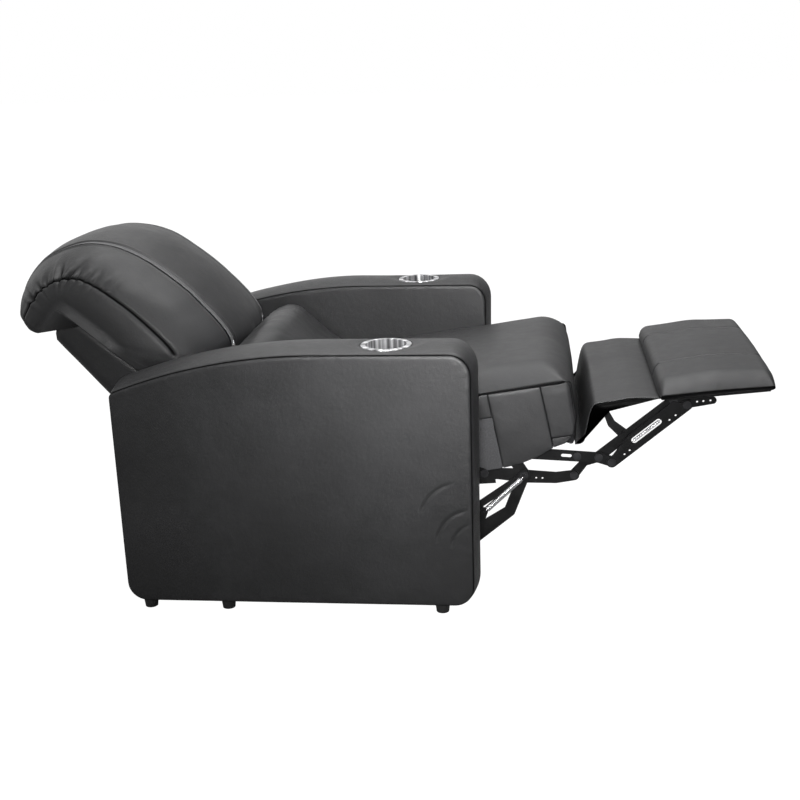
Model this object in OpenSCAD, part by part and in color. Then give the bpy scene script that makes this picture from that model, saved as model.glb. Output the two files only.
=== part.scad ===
// Cinema recliner seat, shown fully reclined with the footrest out.
// +X points to the footrest, +Y to the sitter's left, +Z up. The origin is on the floor,
// under the middle of the reclined chair's length and width.

/* [Arms] */
// Clear width between the two arms
seat_gap = 593; // [585:1:640]
// Width of each arm
arm_w = 150; // [135:1:180]
// Depth of each arm, front to back
arm_d = 776; // [750:1:820]
// Height of the side seam along the level stretch of the arm
arm_h = 590; // [575:1:640]
// Height of the arm's underside above the floor
arm_lift = 25; // [18:1:32]
// Height of the crown that the top and front bands have between their seams
arm_crown = 12; // [4:1:16]
// Length of the level stretch of the arm's top, from the front
arm_level = 330; // [280:1:380]
// Radius of the arc that takes the top down to the back
arm_drop_r = 1240; // [1000:10:1500]
// Radius of the arm's top front corner
arm_front_r = 46; // [24:1:60]
// Radius of the arm's bottom corners
arm_foot_r = 42; // [24:1:50]
// Thickness of padding and leather over the arm's frame
arm_pad = 14; // [10:1:16]
// Thickness of the plywood boards in the arm
arm_board = 12; // [9:1:15]
// Distance from the origin to the front seams of the arms
front_x = 216; // [190:1:230]

/* [Cup holders] */
// Radius of the cup holder's rim
cup_rim_r = 55; // [50:1:58]
// Inner radius of the cup holder
cup_r = 44; // [40:1:46]
// Depth of the cup holder
cup_depth = 78; // [60:1:90]
// Thickness of the cup holder's steel
cup_wall = 1.6; // [1:0.1:2]
// Distance from the arm's front seam back to the middle of the cup holder
cup_set = 182; // [150:1:200]
// Height of the cup holder's rim seat over the side seam
cup_rise = 3.5; // [1:0.5:5]

/* [Feet] */
// Radius of a glide foot at the floor
foot_r = 14; // [10:1:18]
// Radius of a glide foot at the arm
foot_top_r = 17; // [14:1:22]

/* [Linkage plates] */
// Thickness of the steel link plates
plate_t = 3.5; // [2.5:0.1:4]
// Distance from one layer of plates to the next
layer_pitch = 6; // [5.8:0.1:6.4]
// Distance from the arm's inner face to the middle of the base rail
rail_stand = 11.5; // [10:0.5:12]
// Radius of the pivot rivets
pin_r = 4.5; // [3:0.1:5]
// Radius of the rivet heads
head_r = 9; // [7.5:0.1:9.5]
// Height of a rivet head
head_t = 1.4; // [0.8:0.1:1.6]
// Radial clearance of a rivet in its running eye
run_fit = 0.06; // [0.02:0.01:0.1]

/* [Recline linkage] */
// Height of the front base pivot
front_pivot_z = 118; // [110:1:126]
// Distance of the front base pivot behind the arm fronts
front_pivot_set = 15; // [5:1:25]
// Length of the front swing link between its pivots
front_len = 194.9; // [188:0.1:202]
// Height of the rear base pivot
rear_pivot_z = 70; // [66:1:76]
// Distance between the two base pivots
base_span = 434.4; // [425:0.1:445]
// Length of the rear swing link between its pivots
rear_len = 224.4; // [218:0.1:230]
// Height of the base pivot of the back's drive link
drive_pivot_z = 75; // [70:1:80]
// Length of the back's drive link between its pivots
drive_len = 284.6; // [278:0.1:291]
// Tilt of the seat when reclined, front up, in degrees
seat_tilt = 8.5; // [7:0.1:10]
// Lean of the back from upright when reclined, in degrees
back_lean = 50; // [47:0.5:53]

/* [Footrest linkage] */
// Length of the upper footrest link from its seat pivot to its first fork pivot
upper_len = 197.4; // [190:0.1:205]
// Distance between the two fork pivots of the upper link
fork_len = 30.4; // [28:0.1:34]
// Length of the inner link from the fork to the footrest
inner_len = 207.3; // [200:0.1:214]
// Length of the short arm of the inner link
crank_len = 68.4; // [64:0.1:72]
// Width of the perforated outer link
outer_w = 38; // [32:1:40]
// Upward tilt of the footrest pad, in degrees
pad_tilt = 5.5; // [3:0.1:8]

/* [Seat] */
// Gap between the seat's side and an arm
side_gap = 8.5; // [6:0.5:12]
// Height of the cushion's side seam over the front seat pivot
seat_h = 202; // [195:1:212]
// Radius of the seat's rounded long edges over the side seams
seat_round = 40; // [20:1:44]
// Extra height of the seat's crown in its middle
seat_crown = 4; // [1:0.5:8]
// Length of the seat's top, from the nose back to the backrest
seat_len = 501; // [494:1:511]
// Reach of the seat's nose in front of the front seat pivot
nose_reach = 136; // [132:1:144]
// Thickness of the seat's frame boards
board_t = 20; // [15:1:24]
// Height of the seat's frame boards
board_h = 52; // [44:1:56]
// Height of the rails' top flange over the front seat pivot
deck_low = 62; // [60:0.5:64]
// Thickness of the spring wire
wire_t = 4; // [3:0.1:5]

/* [Back] */
// Length of the back from its hinge to the top of the head cushion
back_len = 762; // [740:1:780]
// Distance of the back frame's front face behind the hinge
frame_set = 126; // [120:1:132]
// Height of the lumbar cushion's top over the hinge
lumbar_h = 249; // [240:1:249]
// Height of the head cushion's lower lip over the hinge
lip_h = 252; // [252:1:262]
// Reach of the head cushion in front of the hinge
head_reach = 68; // [50:1:76]
// Reach of the lumbar cushion in front of the hinge
lumbar_reach = 58; // [50:1:62]
// Extra reach of the lumbar cushion's crown in its middle
lumbar_crown = 28; // [10:1:32]
// Distance from the middle to each zip of the head cushion
zip_y = 150; // [120:1:180]
// Height of the outside back's top corner over the hinge
shell_h = 628; // [600:1:640]
// Thickness of the outside back's shell
shell_t = 7; // [5:0.5:7.5]

/* [Footrest] */
// Width of the footrest pad
pad_w = 586; // [560:1:590]
// Length of the footrest pad
pad_len = 246; // [230:1:254]
// Height of the footrest pad's side seams over its board
pad_t = 17; // [14:1:22]
// Radius of the pad's rounded long edges over the side seams
pad_round = 18; // [10:1:20]
// Extra thickness of the pad's crown in its middle
pad_crown = 8; // [2:1:12]
// Distance from the middle to each sewn channel of the pad
channel_y = 134; // [110:1:160]
// Thickness of the calf flap
flap_t = 5; // [3:0.5:7]

/* [Springs] */
// Outer radius of the front assist springs
assist_r = 7; // [5:0.1:7.2]
// Wire radius of the front assist springs
assist_wire = 1.5; // [1:0.1:1.8]
// Turns of each front assist spring
assist_turns = 12; // [8:1:14]
// Outer radius of the springs in the outer links
link_spring_r = 4.2; // [3:0.1:4.3]
// Wire radius of the springs in the outer links
link_wire = 0.9; // [0.6:0.1:1]
// Turns of each spring in the outer links
link_turns = 8; // [6:1:10]

/* [Hidden] */
$fn = 48;
eps = 1;                     // overrun of every cut
fit = 0.3;                   // gap between soft parts and what they lie on
half_gap = seat_gap / 2;
side_y = half_gap - side_gap;

// Colours
leather = [0.06, 0.06, 0.065];
lining = [0.14, 0.14, 0.15];
black_steel = [0.1, 0.1, 0.1];
zinc = [0.72, 0.73, 0.75];
stainless = [0.8, 0.8, 0.8];
ply = [0.76, 0.62, 0.42];
plastic = [0.05, 0.05, 0.05];

// Pivots of the recline linkage, as [x, z]. Turns are in degrees from +X towards +Z.
front_turn = 51.25;
rear_turn = 44.75;
drive_turn = 52.57;
function polar(p, len, turn) = p + len * [cos(turn), sin(turn)];
pivot_a = [front_x - front_pivot_set, front_pivot_z];
pivot_b = polar(pivot_a, front_len, front_turn);
pivot_c = [pivot_a[0] - base_span, rear_pivot_z];
pivot_d = polar(pivot_c, rear_len, rear_turn);

// The seat's own frame starts at pivot B: first value forward along the seat, second up from it.
function seat_point(s, n) = pivot_b
    + [s * cos(seat_tilt) - n * sin(seat_tilt), s * sin(seat_tilt) + n * cos(seat_tilt)];
module in_seat() translate([pivot_b[0], 0, pivot_b[1]]) rotate([0, -seat_tilt, 0]) children();
hinge_back = 461.6;          // distance of the back's hinge behind pivot B, along the seat
hinge_up = 151.9;            // height of the back's hinge over pivot B, square to the seat
low_back = 87.6;             // distance of the lower link's seat pivot behind pivot B
low_up = 13.9;
up_back = 24.3;              // distance of the upper link's seat pivot behind pivot B
up_up = 54.2;
pivot_h = seat_point(-hinge_back, hinge_up);
pivot_s1 = seat_point(-low_back, low_up);
pivot_s2 = seat_point(-up_back, up_up);

// The back's own frame starts at the hinge and is upright before it leans: [forward, up].
function back_point(v, u) = pivot_h
    + [v * cos(back_lean) - u * sin(back_lean), v * sin(back_lean) + u * cos(back_lean)];
module in_back() translate([pivot_h[0], 0, pivot_h[1]]) rotate([0, -back_lean, 0]) children();
drive_v = -14;               // place of the drive link's upper pivot in the back's frame
drive_u = -62.7;
pivot_f = back_point(drive_v, drive_u);
pivot_e = [pivot_f[0] - sqrt(pow(drive_len, 2) - pow(pivot_f[1] - drive_pivot_z, 2)), drive_pivot_z];

// Pivots of the footrest linkage
upper_turn = -3.5;
fork_turn = -17.2;
crank_turn = 217.9;
inner_turn = 39.9;
pivot_p3 = polar(pivot_s2, upper_len, upper_turn);
pivot_p4 = polar(pivot_p3, fork_len, fork_turn);
pivot_p2 = polar(pivot_p3, crank_len, crank_turn);
pivot_b2 = polar(pivot_p3, inner_len, inner_turn);
pivot_b1 = pivot_b2 + pivot_p4 - pivot_p3;
function pad_point(s, n) = pivot_b2
    + [s * cos(pad_tilt) - n * sin(pad_tilt), s * sin(pad_tilt) + n * cos(pad_tilt)];
module in_pad() translate([pivot_b2[0], 0, pivot_b2[1]]) rotate([0, -pad_tilt, 0]) children();

// Layers of plates, counted from the arm inwards: 0 base rail, 1 swing links, 2 seat rail and
// outer links, 3 upper and lower links, 4 inner links and drive links, 5 knee board brackets.
function layer_y(i) = half_gap - rail_stand - i * layer_pitch;
function face_out(i) = layer_y(i) + plate_t / 2;
function face_in(i) = layer_y(i) - plate_t / 2;
head_gap = 0.2;              // gap between a rivet head and its plate

// Helpers. What stands on both sides is modelled on the left and mirrored for the right.
module on_side(side) mirror([0, side == "r" ? 1 : 0, 0]) children();
module both_sides() {
    on_side("l") children();
    on_side("r") children();
}
// Turns an outline drawn in [x, z] into a plate between y0 and y1.
module slab(y0, y1) translate([0, y1, 0]) rotate([90, 0, 0]) linear_extrude(y1 - y0) children();
module plate(i) slab(face_in(i), face_out(i)) children();
module spot(p, r) translate(p) circle(r);
// Round-ended bar between two points, with its own radius at each end. Its flanks are set in by neck.
module bar2d(p, q, rp, rq, neck = 0) {
    d = norm(q - p);
    t = atan2(q[1] - p[1], q[0] - p[0]);
    a = acos((rp - rq) / d);
    spot(p, rp);
    spot(q, rq);
    near = rp - neck;
    far = rq - neck;
    polygon([
        p + near * [cos(t + a), sin(t + a)], p + near * [cos(t - a), sin(t - a)],
        q + far * [cos(t - a), sin(t - a)], q + far * [cos(t + a), sin(t + a)]
    ]);
}
// Chain of bars through points given as [x, z, radius].
module chain2d(pts, neck = 0) {
    for (i = [0 : len(pts) - 2])
        bar2d([pts[i][0], pts[i][1]], [pts[i + 1][0], pts[i + 1][1]], pts[i][2], pts[i + 1][2], neck);
}
function with_r(p, r) = [p[0], p[1], r];
module rod(p, y0, y1, r) translate([p[0], y1, p[1]]) rotate([90, 0, 0]) cylinder(h = y1 - y0, r = r);
// Rivet through the layers from outer to inner, with a low head on each side.
module rivet(p, outer, inner, r = pin_r, hr = head_r) {
    low = face_in(inner) - head_gap;
    high = face_out(outer) + head_gap;
    rod(p, low - head_t, high + head_t, r);
    rod(p, low - head_t, low, hr);
    rod(p, high, high + head_t, hr);
}
eye_r = pin_r + run_fit;

// Outline with its corners rounded: points are [x, z, radius], counter-clockwise, steps per corner.
function unit(v) = v / norm(v);
function corner(a, b, c, n) =
    let (p = [b[0], b[1]], u = unit([a[0], a[1]] - p), v = unit([c[0], c[1]] - p), r = b[2],
         half = acos(max(-1, min(1, u * v))) / 2, m = p + unit(u + v) * r / sin(half),
         start = p + u * r / tan(half) - m, swing = 180 - 2 * half,
         sign = u[0] * v[1] - u[1] * v[0] > 0 ? -1 : 1)
    [for (k = [0 : n]) let (t = sign * swing * k / n)
        m + [start[0] * cos(t) - start[1] * sin(t), start[0] * sin(t) + start[1] * cos(t)]];
function rounded(pts, n) = let (m = len(pts))
    [for (i = [0 : m - 1]) each corner(pts[(i + m - 1) % m], pts[i], pts[(i + 1) % m], n)];
function outward(loop, i) = let (m = len(loop), d = loop[(i + 1) % m] - loop[(i + m - 1) % m])
    unit([d[1], -d[0]]);

// Stations across a cushion, as [y, inset]: rounded sides, plain middle, and a sewn groove
// at each place in grooves.
edge_steps = 3;
plain_steps = 8;             // stations across a cushion between its rounded sides
edge_share = 0.05;           // share of the edge's inset that what faces away from up takes
function stations(half, edge, grooves = [], wide = eps) = concat(
    [for (k = [0 : edge_steps]) let (a = 90 * k / edge_steps)
        [-half + edge - edge * cos(a), edge * (1 - sin(a))]],
    [for (y = quiet(half - edge, plain_steps, grooves, wide)) y],
    [for (k = [edge_steps : -1 : 0]) let (a = 90 * k / edge_steps)
        [half - edge + edge * cos(a), edge * (1 - sin(a))]]
);
function near_groove(y, grooves, wide) = len([for (g = grooves) if (abs(abs(y) - g) < 2 * wide) 1]) > 0;
function quiet(reach, steps, grooves, wide) = [for (k = [1 : steps - 1])
    let (y = -reach + 2 * reach * k / steps) if (!near_groove(y, grooves, wide)) [y, 0]];
function sorted(list) = len(list) < 2 ? list : let (p = list[floor(len(list) / 2)][0])
    concat(sorted([for (e = list) if (e[0] < p) e]), [for (e = list) if (e[0] == p) e],
           sorted([for (e = list) if (e[0] > p) e]));
function grooved(list, grooves, deep, wide) = sorted(concat(list,
    [for (g = grooves) for (s = [-1, 1]) for (k = [-1, 0, 1]) [s * g + k * wide, k == 0 ? deep : 0]]));

// Cushion carried across the seat: the loop is its side outline, and each station insets it.
// The crown swells what faces up, and the sides draw in between the ends by draw. What faces
// away from up takes only the least share of the inset. An end's fan starts at eye, or at its mean.
module cushion(loop, stops, crown, up, draw, least_share = 1, eye = undef) {
    m = len(loop);
    k = len(stops);
    half = stops[k - 1][0];
    lo = min([for (p = loop) p[0]]);
    hi = max([for (p = loop) p[0]]);
    rings = [for (st = stops) for (i = [0 : m - 1])
        let (o = outward(loop, i), lift = crown * (1 - pow(st[0] / half, 2)) * pow(max(0, o * up), 2),
             inset = st[1] * (least_share + (1 - least_share) * pow(max(0, o * up), 2)),
             q = loop[i] + (lift - inset) * o, mid = (2 * loop[i][0] - lo - hi) / (hi - lo),
             tall = (2 * loop[i][1] - min([for (p = loop) p[1]]) - max([for (p = loop) p[1]]))
                / (max([for (p = loop) p[1]]) - min([for (p = loop) p[1]])),
             side = abs(up[1]) > abs(up[0]) ? mid : tall)
        [q[0], st[0] - sign(st[0]) * draw * pow(abs(st[0] / half), 3) * (1 - side * side), q[1]]];
    skin(rings, m, k, eye = eye);
}
// Closed skin over k rings of m points each. An end that is flat is one face, and any other a fan.
module skin(rings, m, k, flat = false, eye = undef) {
    ends = [for (e = [0, k - 1]) let (row = [for (i = [0 : m - 1]) rings[e * m + i]],
        mean = [for (c = [0 : 2]) ([for (r = row) 1] * [for (r = row) r[c]]) / m])
        eye == undef ? mean : [eye[0], mean[1], eye[1]]];
    faces = concat(
        [for (j = [0 : k - 2]) for (i = [0 : m - 1]) each [
            [j * m + i, j * m + (i + 1) % m, (j + 1) * m + (i + 1) % m],
            [j * m + i, (j + 1) * m + (i + 1) % m, (j + 1) * m + i]]],
        flat ? [[for (i = [m - 1 : -1 : 0]) i], [for (i = [0 : m - 1]) (k - 1) * m + i]] : concat(
            [for (i = [0 : m - 1]) [k * m, (i + 1) % m, i]],
            [for (i = [0 : m - 1]) [k * m + 1, (k - 1) * m + i, (k - 1) * m + (i + 1) % m]])
    );
    polyhedron(flat ? rings : concat(rings, ends), faces, convexity = 8);
}
// Pillow on a root point of its side outline: towards its ends, the part in front of the root
// thins, the part above it sinks and the part below it rises, each by a power of the cosine.
// What wraps round behind the root further than hook thins too.
pillow_powers = [0.64, 0.73, 0.25];
pillow_end = 78;
pillow_lean = 0.004;         // lean of the pillow's middle to one side, as a share of its height
module pillow(loop, root, hook, half, steps, grooves, deep_share, wide) {
    m = len(loop);
    even = [for (j = [0 : steps]) let (y = half * sin(pillow_end * (2 * j / steps - 1)))
        if (!near_groove(y, grooves, wide)) [y, 0]];
    stops = grooved(even, grooves, deep_share, wide);
    last = stops[len(stops) - 1][0];
    rings = [for (st = stops) for (q = loop)
        let (c = cos(asin(st[0] / half)), d = q - root,
             tall = pow(c, d[1] > 0 ? pillow_powers[1] : pillow_powers[2]))
        [root[0] + (d[0] > 0 ? d[0] * pow(c, pillow_powers[0]) * (1 - st[1])
                    : d[0] > -hook ? d[0] : (d[0] + hook) * pow(c, pillow_powers[1]) - hook),
         st[0] + pillow_lean * d[1] * cos(90 * st[0] / last), root[1] + d[1] * tall]];
    skin(rings, m, len(stops), true);
}

// Tube along points, with its rings turned as little as possible from one to the next.
function carry(ts, n, i = 0, out = []) = i == len(ts) ? out :
    let (m = unit(n - (n * ts[i]) * ts[i])) carry(ts, m, i + 1, concat(out, [m]));
module tube(pts, r, sides) {
    n = len(pts);
    ts = [for (i = [0 : n - 1]) unit(pts[min(i + 1, n - 1)] - pts[max(i - 1, 0)])];
    first = abs(ts[0][0]) < cos(45) ? [1, 0, 0] : [0, 1, 0];
    ns = carry(ts, first);
    ring = [for (i = [0 : n - 1]) for (k = [0 : sides - 1]) let (a = 360 * k / sides)
        pts[i] + r * (cos(a) * ns[i] + sin(a) * cross(ts[i], ns[i]))];
    faces = concat(
        [for (i = [0 : n - 2]) for (k = [0 : sides - 1]) each [
            [i * sides + k, (i + 1) * sides + k, (i + 1) * sides + (k + 1) % sides],
            [i * sides + k, (i + 1) * sides + (k + 1) % sides, i * sides + (k + 1) % sides]]],
        [for (k = [1 : sides - 2]) [0, k, k + 1]],
        [for (k = [1 : sides - 2]) [(n - 1) * sides, (n - 1) * sides + k + 1, (n - 1) * sides + k]]
    );
    polyhedron(ring, faces, convexity = 10);
}
// Points of a coil spring along +X: a straight stub, a lead-in of half a turn, the turns, and back.
rings_per_turn = 8;
function coil_points(len, coil_r, wire, turns) =
    let (stub = 4 * wire, body = len - 2 * stub, all = turns + 1, count = all * rings_per_turn)
    concat([[0, 0, 0], [stub, 0, 0]],
        [for (i = [1 : count - 1]) let (t = i / rings_per_turn, a = 360 * t,
            r = coil_r * min(1, 2 * t, 2 * (all - t)))
            [stub + body * i / count, r * sin(a), r * cos(a)]],
        [[len - stub, 0, 0], [len, 0, 0]]);
function least_gap(pts, wire) = min([for (i = [0 : len(pts) - 1])
    for (j = [i + 5 : 1 : min(i + 12, len(pts) - 1)]) norm(pts[i] - pts[j])]) - 2 * wire;

// Arms
module arm_outline(inset) {
    low = arm_lift + inset;
    high = arm_h - inset;
    fore = front_x - inset;
    aft = front_x - arm_d + inset;
    foot = arm_foot_r - inset;
    brow = arm_front_r - inset;
    crest = [front_x - arm_level, arm_h - arm_drop_r];
    intersection() {
        union() {
            polygon([[aft + foot, low], [fore - foot, low], [fore, low + foot], [fore, high - brow],
                     [fore - brow, high], [aft, high], [aft, low + foot]]);
            spot([aft + foot, low + foot], foot);
            spot([fore - foot, low + foot], foot);
            spot([fore - brow, high - brow], brow);
        }
        union() {
            translate([front_x - arm_level, 0]) square([arm_level, arm_h]);
            spot(crest, arm_drop_r - inset, $fn = 360);
        }
    }
}
crown_r = (pow(arm_w / 2, 2) + pow(arm_crown, 2)) / (2 * arm_crown);
crown_root = 6;              // how far the crowned band reaches into the arm
module crown_cut() {
    intersection() {
        spot([0, arm_crown - crown_r], crown_r, $fn = 180);
        translate([-arm_w / 2, -crown_root]) square([arm_w, crown_root + arm_crown]);
    }
}
// Crowned band over the arm's front and top: straight up the front, round the corner,
// level, and down the long arc to the back.
module crown_band(mid_y) {
    rise = arm_h - arm_lift - arm_foot_r - arm_front_r;
    drop = asin((arm_d - arm_level) / arm_drop_r);
    translate([front_x, mid_y, arm_lift + arm_foot_r]) linear_extrude(rise) rotate(-90) crown_cut();
    translate([front_x - arm_level, mid_y, arm_h]) rotate([90, 0, 90])
        linear_extrude(arm_level - arm_front_r) crown_cut();
    translate([front_x - arm_front_r, mid_y, arm_h - arm_front_r])
        rotate([90, 0, 0]) rotate_extrude(angle = 90) translate([arm_front_r, 0]) rotate(-90) crown_cut();
    translate([front_x - arm_foot_r, mid_y, arm_lift + arm_foot_r])
        rotate([90, 0, 0]) rotate([0, 0, -90]) rotate_extrude(angle = 90)
            translate([arm_foot_r, 0]) rotate(-90) crown_cut();
    translate([front_x - arm_level, mid_y, arm_h - arm_drop_r])
        rotate([90, 0, 0]) rotate([0, 0, 90]) rotate_extrude(angle = drop, $fn = 360)
            translate([arm_drop_r, 0]) rotate(-90) crown_cut();
}
cup_x = front_x - cup_set;
cup_y = half_gap + arm_w / 2;
rim_z = arm_h + cup_rise;
cup_fit = 0.5;
rim_t = 3;
module arm_cover(side) color(leather) on_side(side) difference() {
    union() {
        slab(half_gap, half_gap + arm_w) arm_outline(0);
        crown_band(half_gap + arm_w / 2);
    }
    slab(half_gap + arm_pad, half_gap + arm_w - arm_pad) arm_outline(arm_pad);
    translate([cup_x, cup_y, rim_z]) cylinder(h = arm_crown + rim_t + eps, r = cup_rim_r + cup_fit);
    translate([cup_x, cup_y, arm_h - arm_pad - eps])
        cylinder(h = arm_pad + arm_crown + eps, r = cup_r + cup_wall + cup_fit);
    if (side == "r")
        bezel_cut();
}
block = 40;                  // size of the blocks between the arm's boards
module arm_frame(side) color(ply) on_side(side) {
    near = half_gap + arm_pad + fit;
    far = half_gap + arm_w - arm_pad - fit;
    inset = arm_pad + fit;
    fore = front_x - arm_foot_r - block;
    aft = front_x - arm_d + arm_foot_r;
    intersection() {
        union() {
            translate([aft - arm_foot_r, near, arm_lift]) cube([arm_d, arm_board, arm_h]);
            translate([aft - arm_foot_r, far - arm_board, arm_lift]) cube([arm_d, arm_board, arm_h]);
            for (x = [aft, fore]) {
                translate([x, near, arm_lift]) cube([block, far - near, block + inset]);
                translate([x, near, arm_h - arm_front_r - block - inset - (x == aft ? arm_h / 6 : 0)])
                    cube([block, far - near, block]);
            }
        }
        slab(near, far) arm_outline(inset);
    }
}

// Cup holders
module cup_section() {
    difference() {
        translate([0, -cup_depth - cup_wall]) square([cup_r + cup_wall, cup_depth + cup_wall + rim_t / 2]);
        translate([-eps, -cup_depth]) square([cup_r + eps, cup_depth + rim_t + eps]);
    }
    difference() {
        union() {
            translate([cup_r, 0]) square([cup_rim_r - cup_r - rim_t / 2, rim_t]);
            spot([cup_rim_r - rim_t / 2, rim_t / 2], rim_t / 2);
        }
        translate([cup_r - eps, -rim_t]) square([eps, 2 * rim_t]);
    }
}
module cup_holder(side) color(stainless) on_side(side)
    translate([cup_x, cup_y, rim_z]) rotate_extrude($fn = 96) cup_section();

// Glide feet, three rows under each side of each arm
foot_rows = [0.0915, 0.715, 0.947];  // places behind the arm fronts, as shares of the arm's depth
foot_in = 30;                // distance of a foot from the side of the arm
module arm_feet() color(plastic) both_sides() for (row = foot_rows)
    for (y = [half_gap + foot_in, half_gap + arm_w - foot_in])
        translate([front_x - row * arm_d, y, 0]) cylinder(h = arm_lift, r1 = foot_r, r2 = foot_top_r);

// Base: a rail on each arm, two cross rails, and what bolts them
rail_r = 21;                 // half the height of the base rail
rail_lift = 51;              // height of the base rail's lower edge above the floor
rail_z = rail_r + rail_lift;
rail_rear = 600;             // distance of the rail's rear end behind the front base pivot
rail_bend = 90;              // distance of the rail's bend behind the front base pivot
lug_out = 33;                // place of the spring lug from the front base pivot
lug_up = 67;
lug = pivot_a + [lug_out, lug_up];
lug_r = 8;
lug_pin_r = 3;
bolt_r = 4;
spacer_r = 9;
module base_rail(side) color(black_steel) on_side(side) plate(0) difference() {
    union() {
        chain2d([[pivot_a[0] - rail_rear, rail_z, rail_r], [pivot_a[0] - rail_bend, rail_z, rail_r],
                 with_r(pivot_a, rail_r - 3 * head_t)]);
        bar2d(pivot_a, lug, rail_r - 3 * head_t, lug_r);
    }
    spot(pivot_a, eye_r);
    spot(pivot_c, eye_r);
    spot(lug, lug_pin_r + run_fit);
    for (x = bolt_xs)
        spot([x, rail_z], bolt_r + run_fit);
}
bolt_share = [0.1, 0.4, 0.78, 0.96];  // places of the rail bolts along the straight of the rail
bolt_xs = [for (s = bolt_share) pivot_a[0] - rail_bend - s * (rail_rear - rail_bend)];
cross_w = 30;                // width and height of the cross rails
cross_wall = 2;
cross_x_front = pivot_a[0] - rail_bend;
cross_x_rear = pivot_e[0] - cross_w - rail_r;
module cross_rail(x, z) translate([x, 0, z]) difference() {
    translate([0, -face_in(0), 0]) cube([cross_w, 2 * face_in(0), cross_w]);
    translate([cross_wall, -face_in(0) - eps, cross_wall])
        cube([cross_w - 2 * cross_wall, 2 * face_in(0) + 2 * eps, cross_w - 2 * cross_wall]);
}
module front_cross_rail() color(black_steel) cross_rail(cross_x_front, rail_z - rail_r + cross_wall);
lug_plate_r = 13;
module rear_cross_rail() color(black_steel) {
    cross_rail(cross_x_rear, rail_z - cross_w / 2);
    both_sides() plate(3) difference() {
        chain2d([[cross_x_rear + cross_w + lug_plate_r, pivot_e[1], cross_w / 2 - cross_wall],
                 with_r(pivot_e, lug_plate_r)]);
        spot(pivot_e, eye_r);
        translate([cross_x_rear, rail_z - cross_w]) square([cross_w, 2 * cross_w]);
    }
}
module base_bolts() color(zinc) both_sides() for (x = bolt_xs) {
    rod([x, rail_z], face_out(0), half_gap, spacer_r);
    rod([x, rail_z], face_in(0) - head_t, half_gap, bolt_r);
    rod([x, rail_z], face_in(0) - head_t, face_in(0), spacer_r);
}
spring_y = half_gap - assist_r - fit - 0.7 * run_fit;
module base_rivets() color(zinc) both_sides() {
    rivet(pivot_a, 0, 1);
    rivet(pivot_c, 0, 1);
    rod(lug, face_in(0) - head_t, spring_y + assist_wire * 2, lug_pin_r);
    rod(lug, face_in(0) - head_t, face_in(0), lug_r);
    rivet(pivot_e, 3, 4);
}

// Swing links
knee_out = 89;               // place of the front swing link's bend from its base pivot
knee_up = 65;
knee = pivot_a + [knee_out, knee_up];
swing_r = 13;
brace_out = 23;              // place of the bend of the link's second arm from its base pivot
brace_up = 81;
brace_r = 8;
swing_wide = 20;
module front_swing_link(side) color(black_steel) on_side(side) {
    plate(1) difference() {
        union() {
            chain2d([with_r(pivot_a, swing_wide), with_r(knee, swing_r), with_r(pivot_b, swing_r)]);
            chain2d([with_r(pivot_a, swing_wide), with_r(pivot_a + [brace_out, brace_up], brace_r),
                     with_r(pivot_b, brace_r)]);
        }
        spot(pivot_a, eye_r);
        spot(pivot_b, eye_r);
    }
}
open_d = 3.4;                // extra radius of the rear link's open eye
open_p2 = 3;
open_f = 0.9;
open_b1 = 0.3;
module rear_swing_link(side) color(black_steel) on_side(side) plate(1) difference() {
    bar2d(pivot_c, pivot_d, swing_r + head_t, swing_r + head_t);
    spot(pivot_c, eye_r);
    spot(pivot_d, pin_r + open_d);
}
module back_drive_link(side) color(black_steel) on_side(side) plate(4) difference() {
    bar2d(pivot_e, pivot_f, swing_r, swing_r);
    spot(pivot_e, eye_r);
    spot(pivot_f, pin_r + open_f);
}

// Seat frame
rail_back = 400;             // distance of the flange's rear end behind pivot B
rail_fore = 62;              // distance of the flange's front end behind pivot B
rail_low = 12;               // how far the seat rail reaches below pivot B
board_in = 3;                // gap between the inner links and the seat's boards
board_y = face_in(4) - board_in;
flange_in = 18;              // how far the flange runs under the boards
module seat_rail(side) color(black_steel) on_side(side) {
    plate(2) difference() {
        union() {
            polygon([seat_point(plate_t - rail_back, -rail_low + 2 * swing_r),
                     seat_point(-rail_fore - plate_t, -rail_low),
                     seat_point(-rail_fore - plate_t, deck_low + plate_t / 2),
                     seat_point(plate_t - rail_back, deck_low + plate_t / 2)]);
            bar2d(pivot_s1, pivot_b, swing_r, swing_r);
            bar2d(pivot_b, pivot_s2, swing_r, swing_r);
            bar2d(seat_point(-rail_fore, deck_low / 2), pivot_s2, swing_r, swing_r);
            bar2d(pivot_d, seat_point(-rail_back + swing_r, deck_low / 2), swing_r + head_t, swing_r);
            bar2d(pivot_d, pivot_h, swing_r + head_t, swing_r + head_t);
        }
        for (p = [pivot_b, pivot_d, pivot_s1, pivot_h])
            spot(p, eye_r);
        spot(pivot_s2, axle_r + run_fit);
        for (k = [1 : 3])
            spot(seat_point(-rail_back + (rail_back - rail_fore) * k / 4, deck_low / 2), swing_r);
    }
    in_seat() translate([-rail_back, board_y - flange_in, deck_low])
        cube([rail_back - rail_fore, face_out(2) - board_y + flange_in, plate_t]);
}
deck = deck_low + plate_t;
board_back = 408;            // distance of the boards' rear end behind pivot B
board_fore = 98;             // reach of the boards in front of pivot B
module seat_side_boards() color(ply) both_sides() in_seat()
    translate([-board_back, board_y - board_t, deck]) cube([board_back + board_fore, board_t, board_h]);
module seat_cross_board(s) color(ply) in_seat()
    translate([s, -board_y, deck]) cube([board_t, 2 * board_y, board_h]);
module seat_front_board() seat_cross_board(board_fore);
module seat_rear_board() seat_cross_board(-board_back - board_t);
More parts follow.
